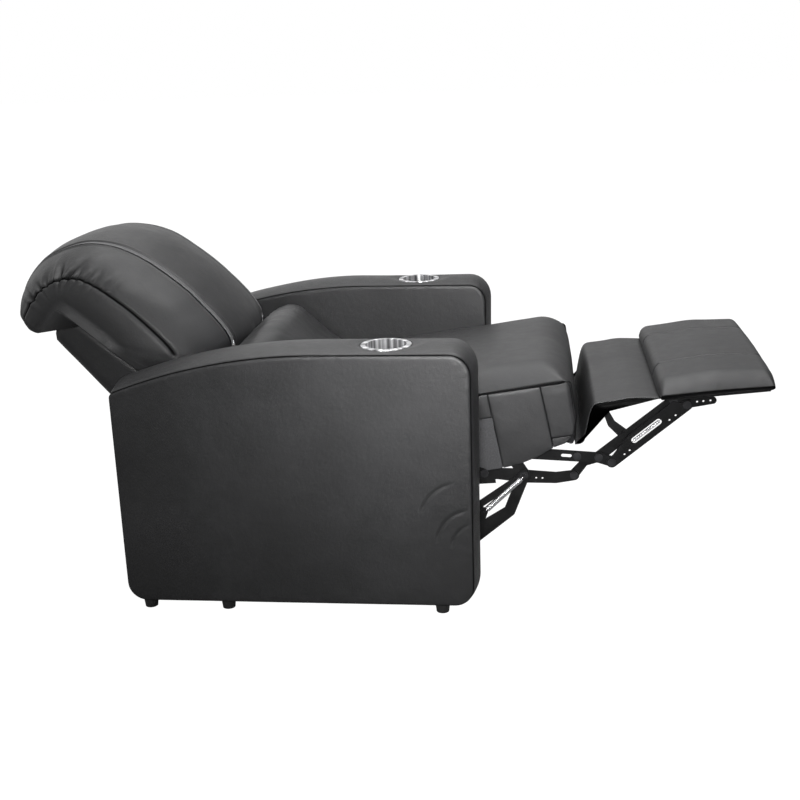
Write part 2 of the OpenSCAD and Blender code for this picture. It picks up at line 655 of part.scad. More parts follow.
// Sinuous springs from the rear board to the front board, each one wire wound side to side
spring_rows = 5;
spring_w = 50;               // width of a sinuous spring between its turns
spring_pitch = 42;
function wind(len) =
    let (turns = floor(len / spring_pitch), step = len / turns, r = step / 2, reach = spring_w / 2 - r)
    concat([[0, 0]], [for (k = [0 : turns - 1]) for (i = [0 : turn_steps])
        let (s = k % 2 == 0 ? 1 : -1, a = 180 - 180 * i / turn_steps)
        [r + k * step + r * cos(a), s * (reach + r * sin(a))]], [[len, 0]]);
turn_steps = 5;
function beside(pts, w) = [for (i = [0 : len(pts) - 1])
    let (d = unit(pts[min(i + 1, len(pts) - 1)] - pts[max(i - 1, 0)])) pts[i] + w * [-d[1], d[0]]];
function reversed(list) = [for (i = [len(list) - 1 : -1 : 0]) list[i]];
module seat_springs() color(zinc) in_seat() for (k = [0 : spring_rows - 1])
    translate([-board_back - board_t / 2,
               (k + 0.5) * 2 * (board_y - board_t) / spring_rows - board_y + board_t, deck + board_h])
        linear_extrude(wire_t) let (pts = wind(board_back + board_fore + board_t))
            polygon(concat(beside(pts, -wire_t / 2), reversed(beside(pts, wire_t / 2))));
tube_s = 330;                // place of the seat's cross tube behind pivot B
tube_n = 22;
tube_r = 12.5;
module seat_cross_tube() color(black_steel) {
    p = seat_point(-tube_s, tube_n);
    difference() {
        rod(p, -face_in(2), face_in(2), tube_r);
        rod(p, -face_in(2) - eps, face_in(2) + eps, tube_r - cross_wall);
    }
}
wide_head = 11;
module seat_rivets() color(zinc) both_sides() {
    rivet(pivot_b, 1, 2);
    rod(pivot_b, face_out(1) + head_gap, spring_y + assist_wire * 2, lug_pin_r);
    rivet(pivot_d, 1, 2, pin_r, wide_head);
    rivet(pivot_s1, 2, 3);
    rivet(pivot_h, 2, 3);
}
// The upholstered block of the seat: its outline from the side, as [forward, up, radius].
// It lies on the springs, wraps down over the front board, and has a skirt down each side.
skirt_low = 20;              // height of the side skirts' lower edge over pivot B
skirt_rear = 46;
skirt_t = 8;                 // thickness of the side skirts
seat_draw = 3;               // how far the seat's sides draw in
nose_low = 60;               // height of the nose's lower edge over pivot B
nose_lip = 127;              // reach of the nose's lower edge in front of pivot B
seat_back = nose_reach - seat_len;
foam_low = deck + board_h + wire_t + fit;
foam_fore = board_fore + board_t + fit;
seat_top = seat_h + seat_round;
nose_bulge = 2;              // how far the nose bulges in front of its top corner
seat_shape = [
    [seat_back, foam_low, 0.15 * seat_round], [foam_fore, foam_low, 0.05 * seat_round],
    [foam_fore, nose_low, 0.075 * seat_round], [nose_lip, nose_low, 0.125 * seat_round],
    [nose_reach + nose_bulge, foam_low, 1.5 * seat_round], [nose_reach, seat_top, 2 * seat_round],
    [seat_back + 1.5 * seat_round, seat_top, 2.5 * seat_round],
    [seat_back, seat_top - 0.55 * seat_round, 1.1 * seat_round]
];
skirt_front = nose_lip - skirt_t;
module seat_cushion() color(leather) in_seat() {
    cushion(rounded(seat_shape, edge_steps), stations(side_y, seat_round), seat_crown, [0, 1], seat_draw,
            edge_share, [(foam_fore + nose_lip) / 2, (foam_low + seat_h) / 2]);
    both_sides() slab(side_y - seat_draw - skirt_t, side_y - seat_draw) polygon([
        [seat_back + skirt_t, skirt_rear], [-rail_fore - 2 * swing_r, skirt_rear],
        [-rail_fore - swing_r, skirt_low], [swing_r, skirt_low], [nose_lip / 2, skirt_low + swing_r],
        [skirt_front, nose_low], [skirt_front, foam_low + 2 * skirt_t],
        [seat_back + skirt_t, foam_low + 2 * skirt_t]]);
}

// Back: brackets, boards, webbing, shell and cushions
bracket_r = 14;
back_board = 22;             // thickness of the back's boards
back_board_w = 44;           // width of the back's boards
post_low = 44;               // height of the back posts' lower end over the hinge
module back_brackets() color(black_steel) both_sides() in_back() plate(3) difference() {
    union() {
        spot([0, 0], bracket_r + 2 * head_t);
        chain2d([[drive_v, drive_u, bracket_r], [0, 0, bracket_r],
                 [-frame_set + back_board_w / 2 - back_board, post_low, bracket_r],
                 [-frame_set - back_board_w / 2, post_low + 2 * bracket_r, bracket_r],
                 [-frame_set - back_board_w / 2, post_low + 8 * bracket_r, bracket_r]], fit);
    }
    spot([0, 0], eye_r);
    spot([drive_v, drive_u], eye_r);
}
module back_rivets() color(zinc) both_sides() rivet(pivot_f, 3, 4);
post_y = face_in(3);
post_top = shell_h - 2 * shell_t;
module back_side_boards() color(ply) both_sides() in_back()
    translate([-frame_set - back_board_w, post_y - back_board, post_low])
        cube([back_board_w - fit, back_board, post_top - post_low]);
module back_cross_board(u) color(ply) in_back()
    translate([-frame_set - back_board_w + fit, -post_y + back_board, u])
        cube([back_board_w - 2 * fit, 2 * (post_y - back_board), back_board]);
module back_top_board() back_cross_board(post_top - back_board);
module back_bottom_board() back_cross_board(post_low);
web_w = 50;
web_t = 2;
web_rows = 5;
module back_webbing() color(lining) in_back() for (k = [1 : web_rows])
    translate([-frame_set - fit, -post_y, post_low + (post_top - post_low) * k / (web_rows + 1) - web_w / 2])
        cube([web_t, 2 * post_y, web_w]);
// Outside back and wings: a shell, open to the cushions, as [forward, up, radius]
shell_top = 58;              // depth of the shell at its top
shell_low = 150;             // depth of the shell at its bottom
shell_foot = 20;             // height of the shell's lower edge over the hinge
web_gap = web_t + fit;
module shell_outline(t) {
    fore = web_gap - frame_set;
    polygon([[fore + (t > 0 ? eps : 0), shell_foot + t], [fore + (t > 0 ? eps : 0), shell_h - t],
             [fore - shell_top + t, shell_h - 2 * t], [fore - shell_low + t, shell_foot + t]]);
}
module back_shell() color(leather) in_back() difference() {
    slab(-side_y, side_y) shell_outline(0);
    slab(-side_y + shell_t, side_y - shell_t) shell_outline(shell_t);
}
cushion_back = web_gap + fit - frame_set;
lumbar_low = -8;             // height of the lumbar cushion's lower edge over the hinge
lumbar_round = 24;           // radius of the lumbar cushion's rounded sides
lumbar_draw = 4;             // how far the lumbar cushion's sides draw in
lumbar_shape = [
    [cushion_back, lumbar_low + 0.76 * lumbar_reach, 0.1 * lumbar_reach],
    [lumbar_reach / 3, lumbar_low, 0.35 * lumbar_reach],
    [1.2 * lumbar_reach, lumbar_low + 0.1 * lumbar_reach, 0.6 * lumbar_reach],
    [1.035 * lumbar_reach, 0.5 * lumbar_h, 0.8 * lumbar_h],
    [0.83 * lumbar_reach, 0.8 * lumbar_h, 0.2 * lumbar_h],
    [0, lumbar_h, 0.12 * lumbar_h], [cushion_back, lumbar_h, 0.032 * lumbar_h]
];
notch_r = 30;
module lumbar_cushion() color(leather) in_back() difference() {
    cushion(rounded(lumbar_shape, edge_steps), stations(side_y, lumbar_round), lumbar_crown, [1, 0],
            lumbar_draw, edge_share);
    both_sides() slab(face_in(4) - head_t, side_y + eps) polygon([
        [cushion_back - eps, -2 * notch_r], [notch_r, -2 * notch_r], [notch_r, notch_r / 2],
        [notch_r / 2, notch_r], [cushion_back - eps, post_low + notch_r]]);
}
tuck_back = 98;              // how far the head cushion wraps behind the frame's front face
head_root = [cushion_back, shell_h + 2 * fit];
head_shape = [
    [cushion_back, lip_h + fit, 0.12 * head_reach], [0.5 * head_reach, lip_h - fit, 0.44 * head_reach],
    [0.91 * head_reach, lip_h + 0.88 * head_reach, 0.88 * head_reach],
    [1.15 * head_reach, 0.58 * back_len, 0.525 * back_len], [head_reach, 0.775 * back_len, 0.158 * back_len],
    [0, 0.92 * back_len, 0.158 * back_len], [-0.145 * back_len, back_len, 0.08 * back_len],
    [-frame_set - tuck_back, back_len - 0.14 * tuck_back, 0.47 * tuck_back],
    [-frame_set - 1.14 * tuck_back, shell_h + 0.33 * tuck_back, 0.24 * tuck_back],
    [-frame_set - shell_top - 0.1 * tuck_back, shell_h + 2 * fit, 0.08 * tuck_back],
    [cushion_back, shell_h + 2 * fit, 4 * fit]
];
groove_share = 0.03;         // depth of the zips' grooves as a share of the pillow's thickness
zip_w = 4;                   // half the width of a zip's groove
pillow_out = 2;              // how far the pillow's poles stand out over the back's sides
pillow_steps = 16;
module head_cushion() color(leather) in_back()
    pillow(rounded(head_shape, edge_steps), head_root, shell_top + 2 * shell_t, side_y + pillow_out,
           pillow_steps, [zip_y], groove_share, zip_w);

// Footrest linkage
axle_r = 6;
link_r = 12;
module upper_link(side) color(black_steel) on_side(side) plate(3) difference() {
    chain2d([with_r(pivot_s2, link_r + head_t), with_r(pivot_p3, link_r), with_r(pivot_p4, link_r)]);
    spot(pivot_s2, axle_r + run_fit);
    spot(pivot_p3, eye_r);
    spot(pivot_p4, eye_r);
    bar2d(polar(pivot_s2, upper_len * 0.6, upper_turn), polar(pivot_s2, upper_len * 0.68, upper_turn),
          link_r / 3, link_r / 3);
    spot(polar(pivot_s2, upper_len * 0.76, upper_turn), eye_r);
}
torque_r = 10.5;
module torque_tube() color(black_steel) {
    difference() {
        rod(pivot_s2, -face_in(3), face_in(3), torque_r);
        rod(pivot_s2, -face_in(3) + torque_r, face_in(3) - torque_r, torque_r - cross_wall);
    }
    both_sides() {
        rod(pivot_s2, face_in(3) - eps, face_out(2) + head_gap + head_t, axle_r);
        rod(pivot_s2, face_out(2) + head_gap, face_out(2) + head_gap + head_t, head_r);
    }
}
module fork_rivets() color(zinc) both_sides() {
    rivet(pivot_p3, 3, 4);
    rivet(pivot_p4, 2, 3);
    rivet(polar(pivot_s2, upper_len * 0.76, upper_turn), 3, 3);
}
belly_drop = 9;              // how far the lower link sags below the line between its pivots
module lower_link(side) color(black_steel) on_side(side) {
    run = pivot_p2 - pivot_s1;
    plate(3) difference() {
        chain2d([with_r(pivot_s1, link_r),
                 with_r(pivot_s1 + run * 0.48 - [0, belly_drop * 0.67], link_r * 1.25),
                 with_r(pivot_s1 + run * 0.8 - [0, belly_drop * 0.78], link_r * 1.08),
                 with_r(pivot_p2, link_r)]);
        spot(pivot_s1, eye_r);
        spot(pivot_p2, pin_r + open_p2);
        for (share = [0.58, 0.65])
            spot(pivot_s1 + run * share - [0, belly_drop], pin_r / 2);
    }
}
end_r = 9.8;                 // radius of the inner link's upper end, under the pad
elbow_out = 4;               // place of the short arm's bend from its middle
elbow_up = 8;
module inner_link(side) color(black_steel) on_side(side) plate(4) difference() {
    elbow = polar(pivot_p3, crank_len / 2, crank_turn) + [-elbow_out, elbow_up];
    chain2d([with_r(pivot_p2, link_r * 0.92), with_r(elbow, link_r * 0.75), with_r(pivot_p3, link_r),
             with_r(pivot_b2, end_r)]);
    spot(pivot_p2, eye_r);
    spot(pivot_p3, eye_r);
    spot(pivot_b2, eye_r);
}
// Knee board under the calf flap, on a bent bracket at each inner link
knee_foot = polar(pivot_p3, inner_len * 0.37, inner_turn);
bend_back = 31;              // place of the bracket's bend from its foot
bend_up = 27;
knee_bend = knee_foot + [-bend_back, bend_up];
rear_back = 3;               // place of the board's rear edge from pivot P3
rear_up = 121;
knee_rear = pivot_p3 + [-rear_back, rear_up];
knee_w = 70;                 // width of the knee board
knee_slope = 9.87;           // slope of the knee board, in degrees
knee_front = polar(knee_rear, knee_w, knee_slope);
knee_t = 10;
knee_y = layer_y(4) - plate_t;
module knee_board() color(black_steel) {
    both_sides() slab(knee_y - plate_t / 2, knee_y + plate_t / 2)
        chain2d([with_r(knee_foot, link_r), with_r(knee_bend, link_r * 0.75),
                 [knee_rear[0] + knee_t, knee_rear[1], knee_t / 2]]);
    slab(-knee_y - plate_t / 2, knee_y + plate_t / 2) bar2d(knee_rear, knee_front, knee_t / 2, knee_t / 2);
}
module knee_rivets() color(zinc) both_sides() {
    rivet(pivot_p2, 3, 4);
    rod(knee_foot, knee_y - plate_t / 2 - head_t, knee_y - plate_t / 2, head_r - 2 * head_t);
}
// Wide outer link, its pivots along its lower edge, with a window for its spring
outer_len = norm(pivot_b1 - pivot_p4);
outer_turn = atan2(pivot_b1[1] - pivot_p4[1], pivot_b1[0] - pivot_p4[0]);
function outer_point(share, up) = polar(polar(pivot_p4, outer_len * share, outer_turn), up, outer_turn + 90);
window_share = 0.5;
window_len = 66;
window_up = 9;
module outer_link(side) color(black_steel) on_side(side) plate(2) difference() {
    union() {
        bar2d(pivot_p4, pivot_b1, link_r, link_r);
        polygon([outer_point(0, 0), outer_point(1, 0), outer_point(0.92, outer_w - link_r),
                 outer_point(0.3, outer_w - link_r), outer_point(0.06, link_r)]);
    }
    spot(pivot_p4, eye_r);
    spot(pivot_b1, pin_r + open_b1);
    bar2d(polar(outer_point(window_share, window_up), -window_len / 2, outer_turn),
          polar(outer_point(window_share, window_up), window_len / 2, outer_turn),
          window_r, window_r);
    for (share = [0.16, 0.23, 0.76, 0.84])
        spot(outer_point(share, -2 * head_t), pin_r / 2);
}

// Coil springs
wire_sides = 6;
assist_pts = coil_points(norm(pivot_b - lug) - 2 * (lug_pin_r + fit), assist_r - assist_wire, assist_wire,
                         assist_turns);
module assist_spring(side) color(zinc) on_side(side)
    translate([lug[0], spring_y, lug[1]]) rotate([0, -atan2(pivot_b[1] - lug[1], pivot_b[0] - lug[0]), 0])
        translate([lug_pin_r + fit, 0, 0]) tube(assist_pts, assist_wire, wire_sides);
window_r = link_spring_r + 2 * head_t;
link_pts = coil_points(window_len + 2 * window_r - 2 * fit, link_spring_r - link_wire, link_wire,
                       link_turns);
window_mid = outer_point(window_share, window_up);
module link_spring(side) color(zinc) on_side(side)
    translate([window_mid[0], layer_y(2) - fit, window_mid[1]]) rotate([0, -outer_turn, 0])
        translate([-link_pts[len(link_pts) - 1][0] / 2, 0, 0]) tube(link_pts, link_wire, wire_sides);
echo(least_gap_assist_spring = least_gap(assist_pts, assist_wire));
echo(least_gap_link_spring = least_gap(link_pts, link_wire));

// Footrest
arm_end = 84;                // reach of the footrest bracket in front of pivot B2
bracket_h = 8;
flange_start = 26;           // where the bracket's flange begins, clear of the inner link
board_under = 4;             // height of the footrest board's underside over pivot B2
footrest_ply = 6;
pad_rear = -28;
module footrest_brackets() color(black_steel) both_sides() {
    plate(3) difference() {
        union() {
            chain2d([with_r(pivot_b2, link_r * 0.75), with_r(pivot_b1, link_r * 0.75)]);
            bar2d(pivot_b1, pad_point(arm_end, -bracket_h), link_r * 0.75, bracket_h);
            polygon([pivot_b2, pad_point(0, board_under), pad_point(arm_end, board_under),
                     pad_point(arm_end, -bracket_h), pivot_b1]);
        }
        in_pad_2d() translate([-2 * arm_end, board_under]) square([4 * arm_end, arm_end]);
        spot(pivot_b1, eye_r);
        spot(pivot_b2, eye_r);
        for (share = [0.6, 0.76, 0.94])
            spot(pad_point(arm_end * share, -bracket_h), pin_r / 2);
    }
    in_pad() translate([flange_start, face_in(3) - flange_in, board_under - plate_t])
        cube([arm_end - flange_start, flange_in + eps, plate_t]);
}
module in_pad_2d() translate(pivot_b2) rotate(pad_tilt) children();
module footrest_rivets() color(zinc) both_sides() {
    rivet(pivot_b1, 2, 3);
    rivet(pivot_b2, 3, 4);
}
board_side = 26;             // how far the footrest board stays inside the pad's sides
module footrest_board() color(ply) in_pad() difference() {
    translate([pad_rear + board_side / 2, -pad_w / 2 + board_side / 2, board_under])
        cube([pad_len - board_side, pad_w - board_side, footrest_ply]);
    both_sides() translate([-2 * end_r, face_in(4) - 2 * head_t, board_under - eps])
        cube([3 * end_r + 2 * fit, face_out(3) - face_in(4) + 4 * head_t, footrest_ply + 2 * eps]);
}
pad_low = board_under + footrest_ply + fit;
pad_top = pad_low + pad_t + pad_round;
pad_shape = [
    [pad_rear, pad_low, 0.22 * pad_round],
    [pad_rear + pad_len - 0.55 * pad_round, pad_low, 0.28 * pad_round],
    [pad_rear + pad_len, pad_low + pad_t / 2, 0.39 * pad_round],
    [pad_rear + pad_len - pad_round / 3, pad_top - pad_round / 9, 1.22 * pad_round],
    [pad_rear + pad_len / 2, pad_top + 0.44 * pad_round, 1.22 * pad_len],
    [pad_rear + 0.22 * pad_round, pad_top, 1.44 * pad_round],
    [pad_rear - 0.22 * pad_round, pad_low + 0.6 * pad_t, 0.44 * pad_round]
];
channel_w = 5;               // half the width of a sewn channel
channel_deep = 4;
pad_draw = 2;                // how far the pad's sides draw in
pad_steps = 2;
pad_edge_share = 0.1;
module footrest_pad() color(leather) in_pad()
    cushion(rounded(pad_shape, pad_steps),
            grooved(stations(pad_w / 2, pad_round, [channel_y], channel_w), [channel_y],
                    channel_deep, channel_w),
            pad_crown, [0, 1], pad_draw, pad_edge_share);
// Calf flap: from under the seat's nose, over the knee board, to the pad's rear edge
flap_y = face_in(5) - fit;
flap_r = flap_t / 2;
flap_nose = seat_point(nose_lip - flap_t, nose_low - flap_t - 2 * fit);
flap_front = seat_point(nose_reach + flap_t, nose_low - flap_r);
flap_wrap = knee_t / 2 + fit + flap_r;
flap_end = pad_point(pad_rear - 2 * fit - flap_r, board_under + footrest_ply - flap_r);
module calf_flap() color(leather) slab(-side_y + 3 * flap_t, side_y - 3 * flap_t) chain2d([
    with_r(flap_nose, flap_r), with_r(flap_front, flap_r),
    for (turn = [165 : -25 : 90]) with_r(polar(knee_rear, flap_wrap * 1.04, knee_slope + turn), flap_r),
    with_r(polar(knee_front, flap_wrap, knee_slope + 90), flap_r), with_r(flap_end, flap_r)]);

// Release paddle in a bezel on the inner face of the right arm
bezel_set = 130;             // distance of the bezel's middle behind the arm fronts
bezel_h = 46;
bezel_w = 96;
bezel_drop = 50;             // distance of the bezel's middle below the arm's seam
bezel_t = 3;
bezel_deep = 9;
bezel_rim = 9;
bezel_mid = [front_x - bezel_set, arm_h - bezel_drop];
paddle_gap = 1;
bezel_round = 8;
module bezel_outline(inset) translate(bezel_mid)
    polygon(rounded([for (c = [[-1, -1], [1, -1], [1, 1], [-1, 1]])
        [c[0] * (bezel_w / 2 - inset), c[1] * (bezel_h / 2 - inset), bezel_round]], edge_steps));
module bezel_cut() slab(half_gap - eps, half_gap + bezel_deep + fit) bezel_outline(bezel_rim / 2);
module release_bezel() color(plastic) on_side("r") difference() {
    union() {
        slab(half_gap - bezel_t, half_gap) bezel_outline(0);
        slab(half_gap - eps, half_gap + bezel_deep) bezel_outline(bezel_rim / 2 + fit);
    }
    slab(half_gap - bezel_t - eps, half_gap + bezel_deep - cross_wall) bezel_outline(bezel_rim);
}
paddle_t = 4;
paddle_pin_z = bezel_mid[1] + bezel_h / 2 - bezel_rim - paddle_t / 2 - paddle_gap;
module release_paddle() color(plastic) on_side("r") {
    intersection() {
        slab(half_gap - paddle_t / 2, half_gap + paddle_t / 2) bezel_outline(bezel_rim + paddle_gap);
        translate([front_x - arm_d, 0, 0]) cube([arm_d, arm_d, paddle_pin_z]);
    }
    translate([bezel_mid[0] - bezel_w / 2 + bezel_rim + bezel_round, half_gap, paddle_pin_z])
        rotate([0, 90, 0]) cylinder(h = bezel_w - 2 * bezel_rim - 2 * bezel_round, r = paddle_t / 2);
}

arm_cover("r");  // arm_cover_r
arm_cover("l");  // arm_cover_l
arm_frame("r");  // arm_frame_r
arm_frame("l");  // arm_frame_l
cup_holder("r");  // cup_holder_r
cup_holder("l");  // cup_holder_l
arm_feet();
base_rail("r");  // base_rail_r
base_rail("l");  // base_rail_l
front_cross_rail();
rear_cross_rail();
base_bolts();
base_rivets();
assist_spring("r");  // assist_spring_r
assist_spring("l");  // assist_spring_l
release_bezel();
release_paddle();
front_swing_link("r");  // front_swing_link_r
front_swing_link("l");  // front_swing_link_l
rear_swing_link("r");  // rear_swing_link_r
rear_swing_link("l");  // rear_swing_link_l
back_drive_link("r");  // back_drive_link_r
back_drive_link("l");  // back_drive_link_l
seat_rail("r");  // seat_rail_r
seat_rail("l");  // seat_rail_l
seat_side_boards();
seat_front_board();
seat_rear_board();
seat_springs();
seat_cross_tube();
seat_rivets();
seat_cushion();
back_brackets();
back_rivets();
back_side_boards();
back_top_board();
back_bottom_board();
back_webbing();
back_shell();
lumbar_cushion();
head_cushion();
upper_link("r");  // upper_link_r
upper_link("l");  // upper_link_l
torque_tube();
fork_rivets();
lower_link("r");  // lower_link_r
lower_link("l");  // lower_link_l
inner_link("r");  // inner_link_r
inner_link("l");  // inner_link_l
knee_board();
knee_rivets();
outer_link("r");  // outer_link_r
outer_link("l");  // outer_link_l
link_spring("r");  // link_spring_r
link_spring("l");  // link_spring_l
footrest_brackets();
footrest_rivets();
footrest_board();
footrest_pad();
calf_flap();
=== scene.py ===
# %% [markdown]
# # A cinema recliner seat in black leather
# The steel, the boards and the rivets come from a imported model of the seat. This lesson dresses
# them: it makes the leather covers, the zips, the springs and every finish, and lights the seat.
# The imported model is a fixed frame, in metres, so each piece is made where it belongs.

# %% Load the frame
import math
import bpy
import mathutils
import numpy as np
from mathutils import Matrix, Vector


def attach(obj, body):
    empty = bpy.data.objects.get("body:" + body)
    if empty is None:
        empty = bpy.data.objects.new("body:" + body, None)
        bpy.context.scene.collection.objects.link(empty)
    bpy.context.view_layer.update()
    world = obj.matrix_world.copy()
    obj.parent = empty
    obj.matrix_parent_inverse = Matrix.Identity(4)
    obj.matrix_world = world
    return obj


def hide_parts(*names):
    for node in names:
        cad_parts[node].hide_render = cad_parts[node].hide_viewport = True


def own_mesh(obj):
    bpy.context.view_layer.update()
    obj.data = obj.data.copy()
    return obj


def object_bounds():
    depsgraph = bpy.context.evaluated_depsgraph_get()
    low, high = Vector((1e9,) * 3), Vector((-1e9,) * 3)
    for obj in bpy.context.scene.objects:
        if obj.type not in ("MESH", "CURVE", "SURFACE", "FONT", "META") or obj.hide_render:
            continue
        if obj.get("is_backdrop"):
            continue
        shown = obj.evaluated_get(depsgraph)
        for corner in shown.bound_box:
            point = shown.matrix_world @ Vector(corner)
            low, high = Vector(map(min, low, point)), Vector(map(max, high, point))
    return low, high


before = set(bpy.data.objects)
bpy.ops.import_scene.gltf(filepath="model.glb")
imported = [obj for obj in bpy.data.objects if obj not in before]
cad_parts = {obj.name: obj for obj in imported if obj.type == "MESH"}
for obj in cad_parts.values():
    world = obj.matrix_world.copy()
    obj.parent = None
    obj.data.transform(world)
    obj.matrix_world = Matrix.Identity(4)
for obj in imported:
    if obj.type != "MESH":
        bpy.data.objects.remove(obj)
cad_low, cad_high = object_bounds()
render_levels = 1
MM = 0.001
print("nodes", len(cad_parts), "box", [round(x, 3) for x in cad_high - cad_low])

# %% [markdown]
# ## The camera
# The photograph was taken from the seat's right with a lens of about 54 mm, from 1.2 m up, a
# little ahead of the arms. The camera's three axes are worked out from its turn, its pitch and
# its roll, because a lens that looks down and leans sideways is easiest set that way.

# %% Camera
EYE = (0.35345, -2.81896, 1.20042)
EYE_TURN, EYE_PITCH, EYE_ROLL = 0.1194, 0.2871, 0.0341
SENSOR, FOCAL_PIXELS, PICTURE_PIXELS = 36, 1197.7353, 800


def aim(turn, pitch, roll):
    """Right, up and backward axes: forward is turned about Z and tipped down, and then both
    others roll round it."""
    ahead = np.array([-math.sin(turn) * math.cos(pitch), math.cos(turn) * math.cos(pitch), -math.sin(pitch)])
    right = np.array([math.cos(turn), math.sin(turn), 0.0])
    up = np.cross(right, ahead)
    rolled = math.cos(roll) * right - math.sin(roll) * up
    return np.array([rolled, math.sin(roll) * right + math.cos(roll) * up, -ahead])


def linked(name, data):
    """An object in the scene that shows a mesh, a lamp or a camera."""
    thing = bpy.data.objects.new(name, data)
    bpy.context.scene.collection.objects.link(thing)
    return thing


camera = linked("camera", bpy.data.cameras.new("camera"))
pose = np.eye(4)
pose[:3, :3], pose[:3, 3] = aim(EYE_TURN, EYE_PITCH, EYE_ROLL).T, EYE
camera.matrix_world = mathutils.Matrix(pose.tolist())
camera.data.lens = SENSOR * FOCAL_PIXELS / PICTURE_PIXELS
camera.data.clip_end = 60
bpy.context.scene.camera = camera
bpy.context.scene.view_settings.view_transform = "Standard"
print("lens", round(camera.data.lens, 1), "mm")

# %% [markdown]
# ## The seat's own frames
# The seat, the back and the footrest are each drawn upright in their own frame, and then set
# down at their pivot and tipped. A shape is easier to read as "so far forward, so far up".

# %% Frames
SEAT_PIVOT, SEAT_TILT = (322.992, 269.999), 8.5
BACK_HINGE, BACK_LEAN = (-155.989, 352.002), 50.0
PAD_PIVOT, PAD_TILT = (647.013, 440.934), 5.5
SIDE = 288.0        # half the width between the cushions' sides
HALF_GAP = 296.5    # half the clear width between the arms
ARM_W = 150.0
CUP_X, CUP_Y = 34.0, HALF_GAP + ARM_W / 2
SIDES = (("r", -1), ("l", 1))


def set_down(grid, pivot, tilt):
    """Points given as forward, sideways, up in millimetres, tipped by tilt about the pivot, in metres."""
    t = math.radians(tilt)
    x, y, z = grid[..., 0], grid[..., 1], grid[..., 2]
    return np.stack([pivot[0] + x * math.cos(t) - z * math.sin(t), y,
                     pivot[1] + x * math.sin(t) + z * math.cos(t)], -1) * MM


def as_drawn(grid):
    """Points given in millimetres, in metres."""
    return grid * MM


def seat_down(grid):
    """From the seat's frame."""
    return set_down(grid, SEAT_PIVOT, SEAT_TILT)


def back_down(grid):
    """From the back's frame."""
    return set_down(grid, BACK_HINGE, BACK_LEAN)


def pad_down(grid):
    """From the footrest's frame."""
    return set_down(grid, PAD_PIVOT, PAD_TILT)


print("100 mm up the leaning back lies", np.round(back_down(np.array([0.0, 0.0, 100.0])), 3))

# %% [markdown]
# ## Outlines
# A leather cover starts as a side outline with rounded corners. Each corner is an arc that
# touches both of its sides, and the points are counted per corner and per side, so that two
# outlines with the same corners match point for point and one can swell into the other.

# %% Outline helpers
def unit(v):
    """Each vector divided by its length."""
    return v / np.maximum(np.linalg.norm(v, axis=-1, keepdims=True), 1e-12)


def outline(corners, step=5.0, like=None, turn_steps=8):
    """A closed outline: every corner [forward, up, radius] becomes an arc of turn_steps, and the straight
    run to the next one gets evenly spaced points, as many as in the outline called like."""
    c = np.array(corners, float)
    p = c[:, :2]
    u, v = unit(np.roll(p, 1, 0) - p), unit(np.roll(p, -1, 0) - p)
    half = np.arccos(np.clip((u * v).sum(1), -1, 1)) / 2
    run = c[:, 2] / np.tan(half)
    middle = p + unit(u + v) * (c[:, 2] / np.sin(half))[:, None]
    first, last, swing = p + u * run[:, None] - middle, p + v * run[:, None] - middle, np.pi - 2 * half
    t = np.linspace(0, 1, turn_steps)[None, :, None]
    s = swing[:, None, None]
    arcs = middle[:, None] + (np.sin((1 - t) * s) * first[:, None] + np.sin(t * s) * last[:, None]) \
        / np.maximum(np.sin(s), 1e-9)
    arcs = np.where(c[:, 2][:, None, None] > 0, arcs, p[:, None])
    gaps = np.linalg.norm(np.roll(arcs[:, 0], -1, 0) - arcs[:, -1], axis=1)
    counts = np.maximum(1, np.round(gaps / step)).astype(int) if like is None else like
    parts = []
    for arc, nxt, n in zip(arcs, np.roll(arcs[:, 0], -1, 0), counts):
        parts += [arc, arc[-1] + (nxt - arc[-1]) * (np.arange(1, n)[:, None] / n)]
    return np.vstack(parts), counts


def run_along(path):
    """How far along an open path each of its points lies: the sum of the steps before it."""
    return np.concatenate([[0], np.cumsum(np.linalg.norm(np.diff(path, axis=0), axis=1))])


def at_runs(path, runs):
    """The points of an open path at these distances along it."""
    run = run_along(path)
    return np.stack([np.interp(runs, run, path[:, k]) for k in range(path.shape[1])], -1)


def evened(path, count):
    """The same closed path with its points at even distances."""
    loop = np.vstack([path, path[:1]])
    return at_runs(loop, np.linspace(0, run_along(loop)[-1], count, endpoint=False))


def softened(path, width):
    """A closed path with each point moved to the mean of the points near it, weighted by a bell
    that is width points wide."""
    k = np.arange(-3 * width, 3 * width + 1)
    w = np.exp(-(k / width) ** 2 / 2)
    return sum(np.roll(path, j, 0) * v for j, v in zip(k, w / w.sum()))


def outward(loop):
    """The unit normal of each point of an outline that runs counter-clockwise: its tangent, turned
    clockwise."""
    d = unit(np.roll(loop, -1, 0) - np.roll(loop, 1, 0))
    return np.stack([d[:, 1], -d[:, 0]], 1)


def both_ways(values):
    """Distances from the middle, given for one side, for both sides in order."""
    v = np.array(values, float)
    return np.concatenate([-v[::-1], v[1:] if v[0] == 0 else v])


def carried(loops, y):
    """Side outlines set across the seat: each row stands at its own y, and one outline may serve all rows."""
    rows = np.broadcast_to(loops, (len(y), *loops.shape[-2:]))
    return np.stack([rows[..., 0], np.repeat(y[:, None], rows.shape[1], 1), rows[..., 1]], -1)


print("a 100 mm square with 20 mm corners:",
      len(outline([[0, 0, 20], [100, 0, 20], [100, 100, 20], [0, 100, 20]])[0]), "points")

# %% [markdown]
# ## Soft unevenness
# No leather cover is a clean surface. Smooth random numbers, read at each point's own place, give
# slow swells and small puckers that are the same each time the lesson runs.

# %% Random swells and falls
LATTICE = 32


